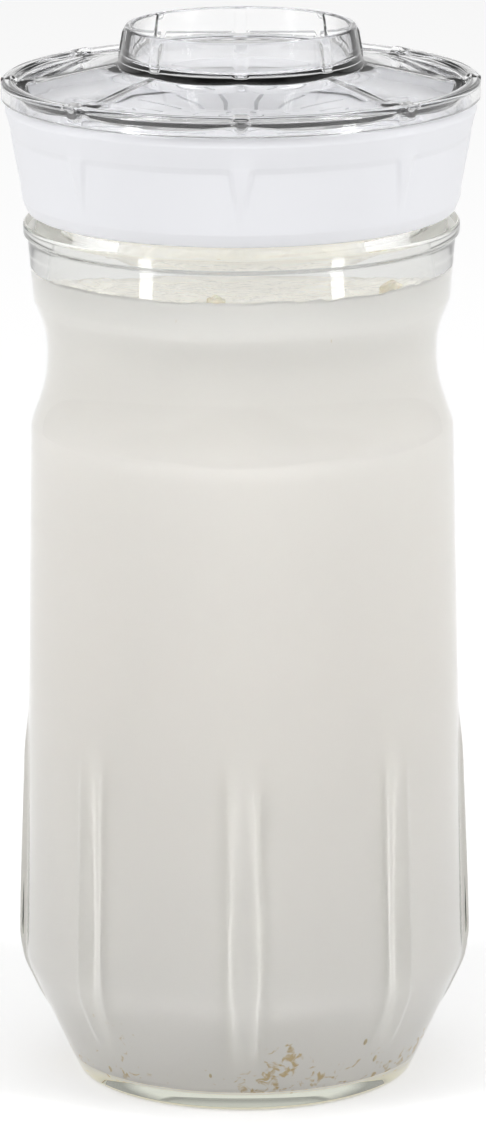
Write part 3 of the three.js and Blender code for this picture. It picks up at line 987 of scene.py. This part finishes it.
@dataclass
class GlassJar(SubAssembly):
    """The pressed-glass jar, in millimetres from the foot up."""

    finish: Material
    relief: ReliefGraph
    thread: ThreadGraph
    wall: float = 2.7
    floor: float = 3.8
    floor_round: float = 3.0
    foot_radius: float = 32.7
    foot_round: float = 2.0
    foot_ring_width: float = 6.0
    punt_depth: float = 1.0
    chamfer_height: float = 22.4
    corner_radius: float = 43.1
    corner_round: float = 9.0
    shoulder_z: float = 130.0
    shoulder_radius: float = 41.0
    shoulder_round: float = 4.0
    waist_foot_z: float = 139.4
    waist_top_z: float = 148.3
    waist_radius: float = 37.7
    waist_round: float = 32.0
    band_foot_z: float = 155.0
    band_foot_radius: float = 40.3
    band_top_z: float = 167.2
    band_top_radius: float = 41.35
    band_round: float = 2.0
    bead_foot_z: float = 167.8
    bead_top_z: float = 169.9
    bead_radius: float = 42.15
    bead_round: float = 0.9
    neck_foot_z: float = 171.4
    neck_radius: float = 38.0
    rim_z: float = 184.0
    rim_round: float = 1.0
    rib_height: float = 1.35
    rib_tail_height: float = 0.75
    rib_crest_width: float = 2.0
    rib_foot_width: float = 6.6
    rib_top_height: float = 0.7
    rib_ramp: float = 12.0
    rib_length: float = 53.0
    rib_peak: float = 5.5
    rib_tail: float = 13.0
    panel_flat: float = 0.6
    columns: int = 320
    band_inner_round: float = 6.0
    throat_rise: float = 2.0
    throat_round: float = 14.0
    edge_round: float = 0.6
    neck_round: float = 0.8
    chamfer_step: float = 1.5
    rib_step: float = 1.3
    thread_step: float = 0.35
    thread_clear: float = 0.5
    thread_start: float = 174.6
    thread_turns: float = 1.35
    body = Body.JAR
    slot = Slot.GLASS
    nodes = ("glass_jar",)

    def hollow(self, wall: float, floor: float) -> list[Corner]:
        """The hollow's outline from the middle of the floor up, for a wall and floor this thick.

        Args:
            wall: Thickness of the wall.
            floor: Height of the floor.

        Returns:
            Its corners.
        """
        slope = (self.corner_radius - self.foot_radius) / self.chamfer_height
        across = wall * math.hypot(1, slope)
        corner_z = self.chamfer_height + (across - wall) / slope
        return [
            Corner(0, floor),
            Corner(self.foot_radius + slope * floor - across, floor, self.floor_round),
            Corner(self.corner_radius - wall, corner_z, self.corner_round),
            Corner(self.shoulder_radius - wall, self.shoulder_z, self.shoulder_round),
            Corner(self.waist_radius - wall, self.waist_foot_z, self.waist_round),
            Corner(self.waist_radius - wall, self.waist_top_z, self.waist_round),
            Corner(self.band_foot_radius - wall, self.band_foot_z, self.band_inner_round),
            Corner(self.neck_radius - wall, self.neck_foot_z + self.throat_rise, self.throat_round),
            Corner(self.neck_radius - wall, self.rim_z, self.rim_round),
        ]

    def skin(self) -> list[Corner]:
        """The outside's outline from the middle of the punt up to the rim.

        Returns:
            Its corners.
        """
        foot_inside = self.foot_radius - self.foot_ring_width
        return [
            Corner(0, self.punt_depth),
            Corner(foot_inside - self.punt_depth, self.punt_depth, self.edge_round),
            Corner(foot_inside, 0, self.edge_round),
            Corner(self.foot_radius, 0, self.foot_round, self.chamfer_step),
            Corner(self.corner_radius, self.chamfer_height, self.corner_round, self.rib_step),
            Corner(self.shoulder_radius, self.shoulder_z, self.shoulder_round),
            Corner(self.waist_radius, self.waist_foot_z, self.waist_round),
            Corner(self.waist_radius, self.waist_top_z, self.waist_round),
            Corner(self.band_foot_radius, self.band_foot_z, self.band_round),
            Corner(self.band_top_radius, self.band_top_z, self.edge_round),
            Corner(self.bead_radius, self.bead_foot_z, self.edge_round),
            Corner(self.bead_radius, self.bead_top_z, self.bead_round),
            Corner(self.neck_radius, self.neck_foot_z, self.neck_round, self.thread_step),
            Corner(self.neck_radius, self.rim_z, self.rim_round),
        ]

    def rib(self, z: np.ndarray) -> np.ndarray:
        """Height of a rib over the panels.

        Args:
            z: Heights of the rows.

        Returns:
            The rib's height at each row.
        """
        corner = self.chamfer_height
        peak, top = corner + self.rib_peak, corner + self.rib_length
        tail = self.rib_tail_height * smooth(corner - self.rib_tail, corner - self.rib_tail / 2, z)
        upper = self.rib_height + (self.rib_top_height - self.rib_height) * smooth(peak, top, z)
        swell = (upper - self.rib_tail_height) * smooth(corner, peak, z)
        return (tail + swell) * (1 - smooth(top - self.rib_ramp, top, z))

    def flattening(self, z: np.ndarray) -> np.ndarray:
        """Depth by which the middle of a panel lies under the round.

        Args:
            z: Heights of the rows.

        Returns:
            The depth at each row.
        """
        corner = self.chamfer_height
        foot = np.clip((z - corner + self.rib_tail) / self.rib_tail, 0, 1)
        return self.panel_flat * foot * (1 - smooth(corner + self.rib_peak, corner + self.rib_length, z))

    def build(self) -> Piece:
        """Builds and dresses the piece.

        Returns:
            The piece.
        """
        skin = self.skin()
        inside = list(reversed(self.hollow(self.wall, self.floor)))
        rows, owners = Outline([*skin, *inside]).rows()
        outer = owners < len(skin)
        z = rows[:, 1]
        rib = np.where(outer & (z > self.punt_depth), self.rib(z), 0)
        threaded = outer & (z > self.neck_foot_z + self.thread_clear) & (z < self.rim_z - self.rim_round)
        marks = {
            Row.RIB_OUT: rib * MM,
            Row.RIB_WIDTH: np.ones(len(rows)),
            Row.PANEL_OUT: np.where(rib > 0, self.flattening(z), 0) * MM,
            Row.THREAD: threaded.astype(float),
        }
        obj = Turning(columns=self.columns).spin("jar_glass", rows, marks=marks)
        self.relief.emboss(obj, self.finish, self.rib_crest_width, self.rib_foot_width)
        self.thread.wind(obj, self.finish, self.thread_start, self.thread_turns)
        return obj


@dataclass
class KefirFill(SubAssembly):
    """The kefir, which wets the glass up to its curdy top."""

    jar: GlassJar
    finish: Material
    curd_painted_glow_finish: Material
    dreg_painted_glow_finish: Material
    curd: CurdGraph
    wetting: float = 0.06
    meniscus: float = 1.6
    creep_length: float = 1.5
    curd_height: float = 5.0
    curd_scale: float = 170.0
    curd_reach: float = 3.0
    curd_edge: float = 0.4
    curd_edge_share: float = 0.02
    settling: tuple[float, float] = (6.0, 16.0)
    top_rows: int = 60
    columns: int = 320
    top_facing: float = 0.2
    floor_facing: float = -0.8
    body = Body.JAR
    slot = Slot.KEFIR
    nodes = ("kefir",)

    def build(self) -> Piece:
        """Builds and dresses the piece.

        Returns:
            The piece.
        """
        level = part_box("kefir")[1].z / MM
        edge = level + self.meniscus
        hollow, _ = Outline(
            self.jar.hollow(self.jar.wall - self.wetting, self.jar.floor - self.wetting)
        ).rows()
        radius = float(np.interp(edge, hollow[:, 1], hollow[:, 0]))
        wall = np.vstack([hollow[hollow[:, 1] < edge], [radius, edge]])
        inner = radius * np.linspace(1, 0, self.top_rows + 1)[1:]
        creep = self.meniscus * np.exp(-(radius - inner) / self.creep_length)
        rows = np.vstack([wall, np.column_stack([inner, level + creep])])
        on_top = np.arange(len(rows)) >= len(wall)
        inwards = smooth(0, self.curd_edge_share, 1 - rows[:, 0] / radius)
        curd = np.where(on_top, inwards * (1 - self.curd_edge) + self.curd_edge, 0)
        curd[len(wall) - 1] = self.curd_edge
        settling = np.where(on_top, 0, 1 - smooth(*self.settling, rows[:, 1]))
        marks = {Row.CURD: curd, Row.SETTLING: settling}
        obj = Turning(self.columns, crowding=0.0).spin("kefir_fill", rows, marks=marks)
        self.curd.carve(obj, self.finish, height=self.curd_height * MM, scale=self.curd_scale)
        for finish in (self.curd_painted_glow_finish, self.dreg_painted_glow_finish):
            obj.data.materials.append(finish)
        curd_foot = (level - self.curd_reach * self.curd_height) * MM
        for face in obj.data.polygons:
            # Upward faces of the curdy top get the curd finish, whose glow is painted light.
            if face.normal.z > self.top_facing and face.center.z > curd_foot:
                face.material_index = 1
            # Faces over the floor get the settled-milk finish, whose glow is painted light.
            elif face.normal.z < self.floor_facing:
                face.material_index = 2
        return obj


@dataclass
class Grain(SubAssembly):
    """One grain of the culture, where its CAD node is."""

    node: str
    seed: float
    finish: Material
    grower: GrainGraph
    body = Body.JAR
    slot = Slot.KEFIR_GRAIN

    def build(self) -> Piece:
        """Builds and dresses the piece.

        Returns:
            The piece.
        """
        self.nodes = (self.node,)
        low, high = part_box(self.node)
        obj = show(f"{self.node}_lump", bpy.data.meshes.new(self.node))
        sizes = {"radius": max(high - low) / 2, "centre": tuple((low + high) / 2), "seed": self.seed}
        self.grower.carve(obj, self.finish, **sizes)
        return obj


@dataclass
class Specks(SubAssembly):
    """Crumbs of the culture that have settled on the glass."""

    fill: Piece
    finish: Material
    scatter: SpeckGraph
    density: float = 7000.0
    size: float = 0.5
    seed: int = 4
    body = Body.JAR
    slot = Slot.KEFIR_GRAIN

    def build(self) -> Piece:
        """Builds and dresses the piece.

        Returns:
            The piece.
        """
        obj = show("settled_specks", self.fill.data.copy())
        obj.data.materials.clear()
        sizes = {"density": self.density, "size": self.size * MM, "seed": self.seed}
        self.scatter.carve(obj, self.finish, **sizes)
        return obj


@dataclass
class RimGasket(SubAssembly):
    """The flat silicone ring on the rim of the glass."""

    finish: Material
    width: float = 2.2
    edge_round: float = 0.35
    columns: int = 192
    body = Body.GASKET
    slot = Slot.SILICONE
    nodes = ("rim_gasket",)

    def build(self) -> Piece:
        """Builds and dresses the piece.

        Returns:
            The piece.
        """
        low, high = (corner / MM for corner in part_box("rim_gasket"))
        inside, outside = high.x - self.width, high.x
        spots = ((inside, low.z), (outside, low.z), (outside, high.z), (inside, high.z))
        rows, _ = Outline([Corner(r, z, self.edge_round) for r, z in spots], closed=True).rows()
        obj = Turning(self.columns, crowding=0.0).spin("rim_seal", rows, closed=True)
        obj.data.materials.append(self.finish)
        return obj


@dataclass(frozen=True)
class SlotRing:
    """A ring of slots: the radius where they end, their length and their number."""

    end: float
    length: float
    count: int


@dataclass
class Strainer(SubAssembly):
    """The slotted plate that the collar holds over the mouth."""

    finish: Material
    cutter: StrainerGraph
    slot_width: float = 0.9
    outer: SlotRing = SlotRing(32.5, 13.5, 24)
    inner: SlotRing = SlotRing(16.0, 9.0, 12)
    body = Body.STRAINER
    slot = Slot.WHITE_PLASTIC
    nodes = ("strainer",)

    def build(self) -> Piece:
        """Builds and dresses the piece.

        Returns:
            The piece.
        """
        low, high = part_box("strainer")
        obj = show("strainer_plate", bpy.data.meshes.new("strainer_plate"))
        sizes = {"radius": high.x, "thickness": high.z - low.z, "height": low.z}
        for name, ring in (("outer", self.outer), ("inner", self.inner)):
            sizes[f"{name}_slot_end"] = ring.end * MM
            sizes[f"{name}_slot_length"] = ring.length * MM
            sizes[f"{name}_slot_count"] = ring.count
        self.cutter.carve(obj, self.finish, slot_width=self.slot_width * MM, **sizes)
        obj.data.shade_flat()
        return obj


@dataclass
class Collar(SubAssembly):
    """The white screw collar, whose upper band runs down in eight drips."""

    finish: Material
    relief: ReliefGraph
    thread: ThreadGraph
    bore: float = 39.6
    foot_wall: float = 2.6
    foot_height: float = 2.5
    foot_inset: float = 1.0
    taper: float = 2.0
    band_height: float = 6.1
    band_flare: float = 1.2
    top_chamfer: float = 1.6
    top_inset: float = 0.8
    wall: float = 2.5
    edge_round: float = 0.7
    flange_thickness: float = 2.0
    flange_width: float = 4.2
    snap_bead: float = 0.7
    snap_bead_height: float = 1.2
    drip_depth: float = 0.55
    drip_top_width: float = 2.8
    drip_foot_share: float = 0.25
    drip_flank: float = 1.3
    drip_power: float = 1.5
    drip_corners: tuple[int, int] = (2, 4)
    crease_low: float = 0.9
    crease_high: float = 0.3
    drip_fade: tuple[float, float] = (-1.2, 1.0)
    lip_round: float = 0.4
    pocket_round: float = 0.2
    well_round: float = 0.5
    foot_round: float = 1.5
    crease_rounds: tuple[float, float] = (1.2, 1.6)
    drip_step: float = 0.8
    crease_step: float = 0.3
    thread_step: float = 0.35
    thread_rise: float = 0.6
    thread_turns: float = 1.6
    thread_span: tuple[float, float] = (1.0, -2.5)
    body = Body.COLLAR
    slot = Slot.WHITE_PLASTIC
    nodes = ("collar",)

    def build(self) -> Piece:
        """Builds and dresses the piece.

        Returns:
            The piece.
        """
        base, top = (corner.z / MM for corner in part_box("collar"))
        plate_low, plate_high = (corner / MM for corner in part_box("strainer"))
        pocket = plate_high.x + SEAT_GAP
        flange_z = plate_high.z + SEAT_GAP
        well_z = flange_z + self.flange_thickness
        snap = plate_low.z - SEAT_GAP
        foot = self.bore + self.foot_wall
        crease = foot + self.taper
        crease_z = top - self.band_height
        brim = crease + self.band_flare
        drip_foot = base + self.foot_height
        mouth = pocket - self.flange_width
        low_round, high_round = self.crease_rounds
        corners = [
            Corner(self.bore, base, self.lip_round),
            Corner(foot - self.foot_inset, base, self.edge_round),
            Corner(foot, drip_foot, self.foot_round, self.drip_step),
            Corner(crease - self.drip_depth, crease_z - self.crease_low, low_round, self.crease_step),
            Corner(crease, crease_z + self.crease_high, high_round),
            Corner(brim, top - self.top_chamfer, self.edge_round),
            Corner(brim - self.top_inset, top, self.edge_round),
            Corner(brim - self.wall, top, self.lip_round),
            Corner(brim - self.wall, well_z, self.well_round),
            Corner(mouth, well_z, self.lip_round),
            Corner(mouth, flange_z, self.lip_round),
            Corner(pocket, flange_z, self.pocket_round),
            Corner(pocket, snap, self.pocket_round),
            Corner(pocket - self.snap_bead, snap - self.snap_bead / 2, self.pocket_round),
            Corner(self.bore, snap - self.snap_bead_height, self.pocket_round, self.thread_step),
        ]
        rows, owners = Outline(corners, closed=True).rows()
        z = rows[:, 1]
        first_drip, last_drip = self.drip_corners
        skin = (owners >= first_drip) & (owners <= last_drip)
        depth = np.where(skin, self.drip_depth * smooth(drip_foot, crease_z, z), 0)
        fade_start, fade_stop = (crease_z + shift for shift in self.drip_fade)
        depth *= 1 - smooth(fade_start, fade_stop, z)
        share = np.clip((z - drip_foot) / (crease_z - drip_foot), 0, 1)
        width = self.drip_foot_share + (1 - self.drip_foot_share) * share**self.drip_power
        thread_low, thread_high = base + self.thread_span[0], snap + self.thread_span[1]
        threaded = (owners >= len(corners) - 1) & (z > thread_low) & (z < thread_high)
        marks = {Row.RIB_OUT: depth * MM, Row.RIB_WIDTH: width, Row.THREAD: -threaded.astype(float)}
        obj = Turning().spin("screw_collar", rows, closed=True, marks=marks)
        drip_width = self.drip_top_width
        self.relief.emboss(obj, self.finish, drip_width, drip_width + 2 * self.drip_flank)
        self.thread.wind(obj, self.finish, base + self.thread_rise, self.thread_turns)
        return obj


@dataclass
class ClearLid(SubAssembly):
    """The clear lid: a thick rim, dished panels between eight spokes, and a raised ring."""

    finish: Material
    relief: ReliefGraph
    rim_height: float = 3.8
    rim_width: float = 2.9
    rim_round: float = 0.9
    rim_wall: float = 1.8
    rim_plate: float = 0.9
    plate: float = 1.5
    rise: float = 2.9
    skirt_radius: float = 42.6
    skirt_wall: float = 1.5
    skirt_depth: float = 3.4
    ring_radius: float = 23.5
    ring_taper: float = 1.3
    ring_wall: float = 1.9
    ring_edge_wall: float = 1.2
    ring_height: float = 7.2
    ring_fillet: float = 1.3
    cup_depth: float = 6.4
    cup_plate: float = 2.3
    cup_round: float = 1.2
    spoke_crest_width: float = 1.6
    spoke_foot_width: float = 4.0
    spoke_bump: float = 0.6
    wedge_height: float = 0.5
    spoke_end_radius: float = 38.5
    spoke_ramp: float = 3.0
    crease_share: float = 0.3
    panel_drop: float = 1.1
    ring_rib: float = 0.32
    ring_rib_share: float = 0.8
    ring_rib_fade: tuple[float, float] = (2.0, 0.6)
    bump_fade: tuple[float, float] = (2.0, 0.9)
    valley_inset: float = 0.9
    rim_bevel: float = 0.6
    under_round: float = 1.0
    fold_round: float = 0.6
    groove_round: float = 0.5
    lip_round: float = 0.4
    seat_round: float = 0.3
    plate_step: float = 0.8
    rim_step: float = 0.4
    margin: float = 0.3
    ring_clear: float = 0.05
    vault_start: float = 0.6
    crease_end: float = 0.5
    body = Body.LID
    slot = Slot.CLEAR_PLASTIC
    nodes = ("clear_lid",)

    def build(self) -> Piece:
        """Builds and dresses the piece.

        Returns:
            The piece.
        """
        low, high = (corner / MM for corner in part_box("clear_lid"))
        outside = high.x
        seat = low.z + self.skirt_depth
        rim_inside = outside - self.rim_width
        skirt_inside = self.skirt_radius - self.skirt_wall
        rim_top = seat + self.rim_height
        ring_foot = rim_top + self.rise
        ring_top = ring_foot + self.ring_height
        cup_floor = ring_top - self.cup_depth
        ring_edge = self.ring_radius - self.ring_taper
        cup_radius = self.ring_radius - self.ring_wall
        valley = rim_inside - self.valley_inset
        valley_z = rim_top - self.panel_drop
        plate_slope = (ring_foot - valley_z) / (valley - self.ring_radius)
        groove_z = rim_top - self.rim_plate
        skirt_top = ring_foot - plate_slope * (skirt_inside - self.ring_radius) - self.plate
        end_z = ring_foot - plate_slope * (self.spoke_end_radius - self.ring_radius)
        under = [
            Corner(0, cup_floor - self.cup_plate),
            Corner(cup_radius, cup_floor - self.cup_plate, self.under_round),
            Corner(self.ring_radius, ring_foot - self.plate, self.under_round),
            Corner(self.spoke_end_radius, end_z - self.plate, step=self.plate_step),
            Corner(skirt_inside, skirt_top, self.fold_round, self.rim_step),
            Corner(skirt_inside, low.z, self.lip_round),
            Corner(self.skirt_radius, low.z, self.lip_round),
            Corner(self.skirt_radius, groove_z, self.groove_round),
            Corner(outside - self.rim_wall, groove_z, self.groove_round),
            Corner(outside - self.rim_wall, seat, self.seat_round),
        ]
        over = [
            Corner(outside, seat, self.lip_round),
            Corner(outside, rim_top, self.rim_round),
            Corner(rim_inside + self.rim_bevel, rim_top, self.groove_round, self.rim_step),
            Corner(valley, valley_z, self.fold_round, self.plate_step),
            Corner(self.ring_radius, ring_foot, self.ring_fillet, self.plate_step),
            Corner(ring_edge, ring_top, self.groove_round),
            Corner(ring_edge - self.ring_edge_wall, ring_top, self.lip_round),
            Corner(cup_radius, cup_floor, self.cup_round),
            Corner(0, cup_floor),
        ]
        rows, owners = Outline([*under, *over]).rows()
        r, z = rows[:, 0], rows[:, 1]
        first = len(under)
        rim_corner, ring_corner, lip_corner = first + 1, first + 4, first + 5
        upper = owners >= rim_corner
        plate_rows = upper & (owners <= ring_corner) & (r > self.ring_radius + self.ring_clear)
        ring_rows = upper & (owners <= lip_corner) & (z > ring_foot)
        under_plate = (owners < first) & (z > skirt_top - self.margin) & (r > self.ring_radius)
        vault = under_plate & (r > self.spoke_end_radius - self.vault_start)
        fade_start, fade_stop = (outside - inset for inset in self.bump_fade)
        wedge_top = rim_top + self.spoke_bump * (1 - smooth(fade_start, fade_stop, r))
        surface = np.where(vault, z + self.plate, z)
        wedge = np.clip(wedge_top - surface, 0, self.wedge_height)
        wedge *= smooth(self.spoke_end_radius, self.spoke_end_radius + self.spoke_ramp, r)
        spoke = np.where(plate_rows | vault, wedge, 0)
        width = np.where(r < self.spoke_end_radius - self.crease_end, self.crease_share, 1)
        width = np.where(ring_rows, self.ring_rib_share, width)
        chord = (1 / math.cos(math.pi / RIB_COUNT) - 1) * plate_slope * r
        facet = np.where((plate_rows | under_plate) & (r < valley + self.margin), chord, 0)
        fade_in, fade_out = self.ring_rib_fade
        ring_height = smooth(ring_foot, ring_foot + fade_in, z)
        ring_height = ring_height * (1 - smooth(ring_top - fade_out, ring_top, z))
        marks = {
            Row.RIB_OUT: np.where(ring_rows & (owners == ring_corner), self.ring_rib * ring_height, 0) * MM,
            Row.RIB_UP: spoke * MM,
            Row.RIB_WIDTH: width,
            Row.PANEL_UP: facet * MM,
        }
        obj = Turning().spin("lid_moulding", rows, marks=marks)
        self.relief.emboss(obj, self.finish, self.spoke_crest_width, self.spoke_foot_width)
        return obj


# Studio


@dataclass(frozen=True)
class Softbox:
    """A soft lamp that the camera and mirror reflections don't see."""

    name: str
    location: tuple[float, float, float]
    size: tuple[float, float] = (0.22, 1.7)
    power: float = 10.5
    target: tuple[float, float, float] = (0.0, 0.0, 0.1)

    def hang(self) -> None:
        """Puts the lamp in the scene."""
        light = bpy.data.lights.new(self.name, "AREA")
        light.shape = "RECTANGLE"
        light.size, light.size_y = self.size
        light.energy = self.power
        lamp = bpy.data.objects.new(self.name, light)
        lamp.location = self.location
        aim = Vector(self.target) - Vector(self.location)
        lamp.rotation_euler = aim.to_track_quat("-Z", "Y").to_euler()
        lamp.visible_camera = False
        lamp.visible_glossy = False
        bpy.context.scene.collection.objects.link(lamp)


@dataclass
class Studio:
    """A white floor and background, soft lamps, and a dark room behind the camera.

    sky_stops gives the sky's brightness at elevations in degrees, as glass and lid mirror it. Diffuse
    faces get a plain sky that goes from horizon_light to zenith_light. A ray has met a diffuse face where
    its diffuse depth is over first_diffuse.
    """

    floor_size: float = 30.0
    floor_colour: Colour = (0.7, 0.7, 0.7)
    floor_glow: float = 0.33
    horizon_light: float = 0.35
    zenith_light: float = 1.5
    first_diffuse: float = 0.5
    sky_stops: Sequence[tuple[float, float]] = (
        (0.0, 1.0), (16.0, 1.0), (19.5, 0.4), (27.0, 0.4), (36.0, 0.85)
    )
    dark: float = 0.3
    dark_elevation: float = 42.0
    dark_spread: tuple[float, float] = (34.0, 44.0)
    lamps: Sequence[Softbox] = (
        Softbox("left_softbox", (-1.09, -0.71, 0.87)),
        Softbox("right_softbox", (1.09, -0.71, 0.87)),
    )

    def build(self) -> None:
        """Lays the floor, hangs the lamps and sets the background."""
        self._floor()
        self._world()
        for lamp in self.lamps:
            lamp.hang()

    def _floor(self) -> None:
        """Lays a white floor that keeps the object's shadow."""
        half = self.floor_size / 2
        mesh = bpy.data.meshes.new("floor")
        spots = [(-half, -half, 0.0), (half, -half, 0.0), (half, half, 0.0), (-half, half, 0.0)]
        mesh.from_pydata(spots, [], [(0, 1, 2, 3)])
        floor = show("floor", mesh)
        shader = Shader("floor")
        shader.set(Base_Color=(*self.floor_colour, 1.0), Roughness=1.0, Specular_IOR_Level=0.0)
        path = shader.node("ShaderNodeLightPath").outputs
        seen = shader.math("ADD", path["Is Camera Ray"], path["Is Glossy Ray"])
        seen = shader.math("ADD", seen, path["Is Transmission Ray"])
        seen.node.use_clamp = True
        direct = shader.math("LESS_THAN", path["Diffuse Depth"], self.first_diffuse)
        glow = shader.times(seen, direct, self.floor_glow)
        shader.set(Emission_Color=(1.0, 1.0, 1.0, 1.0), Emission_Strength=glow)
        mesh.materials.append(shader.material)

    def _world(self) -> None:
        """Sets a white background, and a bright sky with a dark room behind the camera."""
        world = bpy.data.worlds.new("studio")
        world.use_nodes = True
        bpy.context.scene.world = world
        world.node_tree.nodes.clear()
        tree = NodeTree(world.node_tree)
        direction = tree.node("ShaderNodeTexCoord").outputs["Generated"]
        up = tree.node("ShaderNodeSeparateXYZ", {0: direction}).outputs["Z"]
        path = tree.node("ShaderNodeLightPath").outputs
        tilt = math.radians(self.dark_elevation)
        feeds = {0: direction, 1: (0.0, -math.cos(tilt), math.sin(tilt))}
        facing = tree.node("ShaderNodeVectorMath", feeds, operation="DOT_PRODUCT").outputs["Value"]
        inner, outer = (math.cos(math.radians(angle)) for angle in self.dark_spread)
        shade = tree.span(facing, outer, inner, 1.0, self.dark, eased=True)
        stops = [(math.sin(math.radians(angle)), (glow, glow, glow)) for angle, glow in self.sky_stops]
        mirrored = tree.times(shade, tree.ramp(up, stops))
        rise = self.zenith_light - self.horizon_light
        plain = tree.math("MULTIPLY_ADD", tree.math("POWER", up, 2.0), rise, self.horizon_light)
        on_diffuse = tree.math("GREATER_THAN", path["Diffuse Depth"], self.first_diffuse)
        feeds = {"Factor": on_diffuse, "A": mirrored, "B": plain}
        level = tree.node("ShaderNodeMix", feeds).outputs["Result"]
        sky = tree.out("ShaderNodeBackground", {"Strength": level})
        white = tree.out("ShaderNodeBackground", {"Color": (1.0, 1.0, 1.0, 1.0)})
        mixed = tree.out("ShaderNodeMixShader", {0: path["Is Camera Ray"], 1: sky, 2: white})
        tree.node("ShaderNodeOutputWorld", {"Surface": mixed})


@dataclass
class PhotoCamera:
    """The camera at the photograph's viewing angle."""

    location: tuple[float, float, float] = (0.0, -1.350, 0.4296)
    pitch: float = 13.745
    roll: float = -0.25
    lens: float = 223.24
    sensor: float = 36.0
    reach: float = 100.0

    def build(self) -> None:
        """Sets up the camera."""
        data = bpy.data.cameras.new("camera")
        data.lens = self.lens
        data.sensor_width = self.sensor
        data.sensor_fit = "AUTO"
        data.clip_end = self.reach
        camera = bpy.data.objects.new("camera", data)
        camera.location = self.location
        aim = Matrix.Rotation(math.radians(90 - self.pitch), 3, "X")
        camera.rotation_euler = (aim @ Matrix.Rotation(math.radians(self.roll), 3, "Z")).to_euler()
        bpy.context.scene.collection.objects.link(camera)
        bpy.context.scene.camera = camera


def main() -> None:
    """Builds the studio and every piece of the jar."""
    logging.basicConfig(level=logging.INFO, format="%(message)s")
    scene = bpy.context.scene
    scene.view_settings.view_transform = "Standard"
    scene.cycles.blur_glossy = 0.0
    scene.cycles.max_bounces = scene.cycles.transmission_bounces = LIGHT_BOUNCES
    PhotoCamera().build()
    Studio().build()

    glass = ClearFinish("jar_glass", ior=1.51, tint=(0.68, 0.73, 0.44), absorption=7.0, ripple=0.04).make()
    clear = ClearFinish(
        "clear_plastic", ior=1.49, tint=(0.1, 0.12, 0.16), absorption=2.0, ripple=0.02
    ).make()
    white = SatinFinish(
        "white_plastic", (0.835, 0.84, 0.87), (0.82, 0.825, 0.855), roughness=(0.34, 0.44)
    ).make()
    # The silicone's glow is painted light, not a lamp.
    silicone = SatinFinish(
        "silicone", (0.78, 0.78, 0.75), (0.74, 0.74, 0.71), roughness=(0.5, 0.65), glow=0.1
    ).make()
    # The milk's colour by height: lightening towards the top is painted light, for light scattered in
    # through the clear neck, and darkening lower down is painted shade; the warmer tone low down is the
    # milk's own.
    deep, mid, top = (0.835, 0.82, 0.8), (0.885, 0.862, 0.838), (0.935, 0.917, 0.896)
    levels = ((20.0, deep), (85.0, mid), (140.0, top), (158.0, (0.98, 0.968, 0.95)))
    milk = KefirFinish("kefir", levels, mottling=0.012, roughness=0.6, gloss=0.0, silt_height=30.0).make()
    # The curd top goes from beige in its hollows to white on its crests, and its glow is painted light that
    # brightens it under the shade of the collar and strainer.
    levels = ((158.5, (0.83, 0.8, 0.69)), (161.5, (0.93, 0.915, 0.87)))
    curds = KefirFinish("curds", levels, mottling=0.05, roughness=0.1, gloss=1.0, glow=0.34).make()
    # Settled milk on the faces over the floor: a warmer tone of its own, with a glow that is painted light
    # for the light coming through the glass foot.
    levels = ((0.0, (0.86, 0.82, 0.72)), (10.0, (0.9, 0.87, 0.78)))
    dregs_painted_glow = KefirFinish("dregs_painted_glow", levels, mottling=0.08, roughness=0.5, gloss=0.0, glow=0.3).make()
    culture = GrainFinish("kefir_grain", (0.74, 0.64, 0.44), (0.6, 0.47, 0.27)).make()
    cream = GrainFinish("floating_grain", (0.87, 0.82, 0.7), (0.8, 0.73, 0.56)).make()

    relief, thread = ReliefGraph(), ThreadGraph()
    jar = GlassJar(glass, relief, thread)
    jar.mount()
    fill = KefirFill(jar, milk, curds, dregs_painted_glow, CurdGraph()).mount()
    grower = GrainGraph()
    grains = [name for name in sorted(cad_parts) if "_grain_" in name]
    for seed, name in enumerate(grains):
        Grain(name, float(seed), cream if "floating" in name else culture, grower).mount()
    Specks(fill, culture, SpeckGraph()).mount()
    RimGasket(silicone).mount()
    Strainer(white, StrainerGraph()).mount()
    Collar(white, relief, thread).mount()
    ClearLid(clear, relief).mount()


if __name__ == "__main__":
    main()
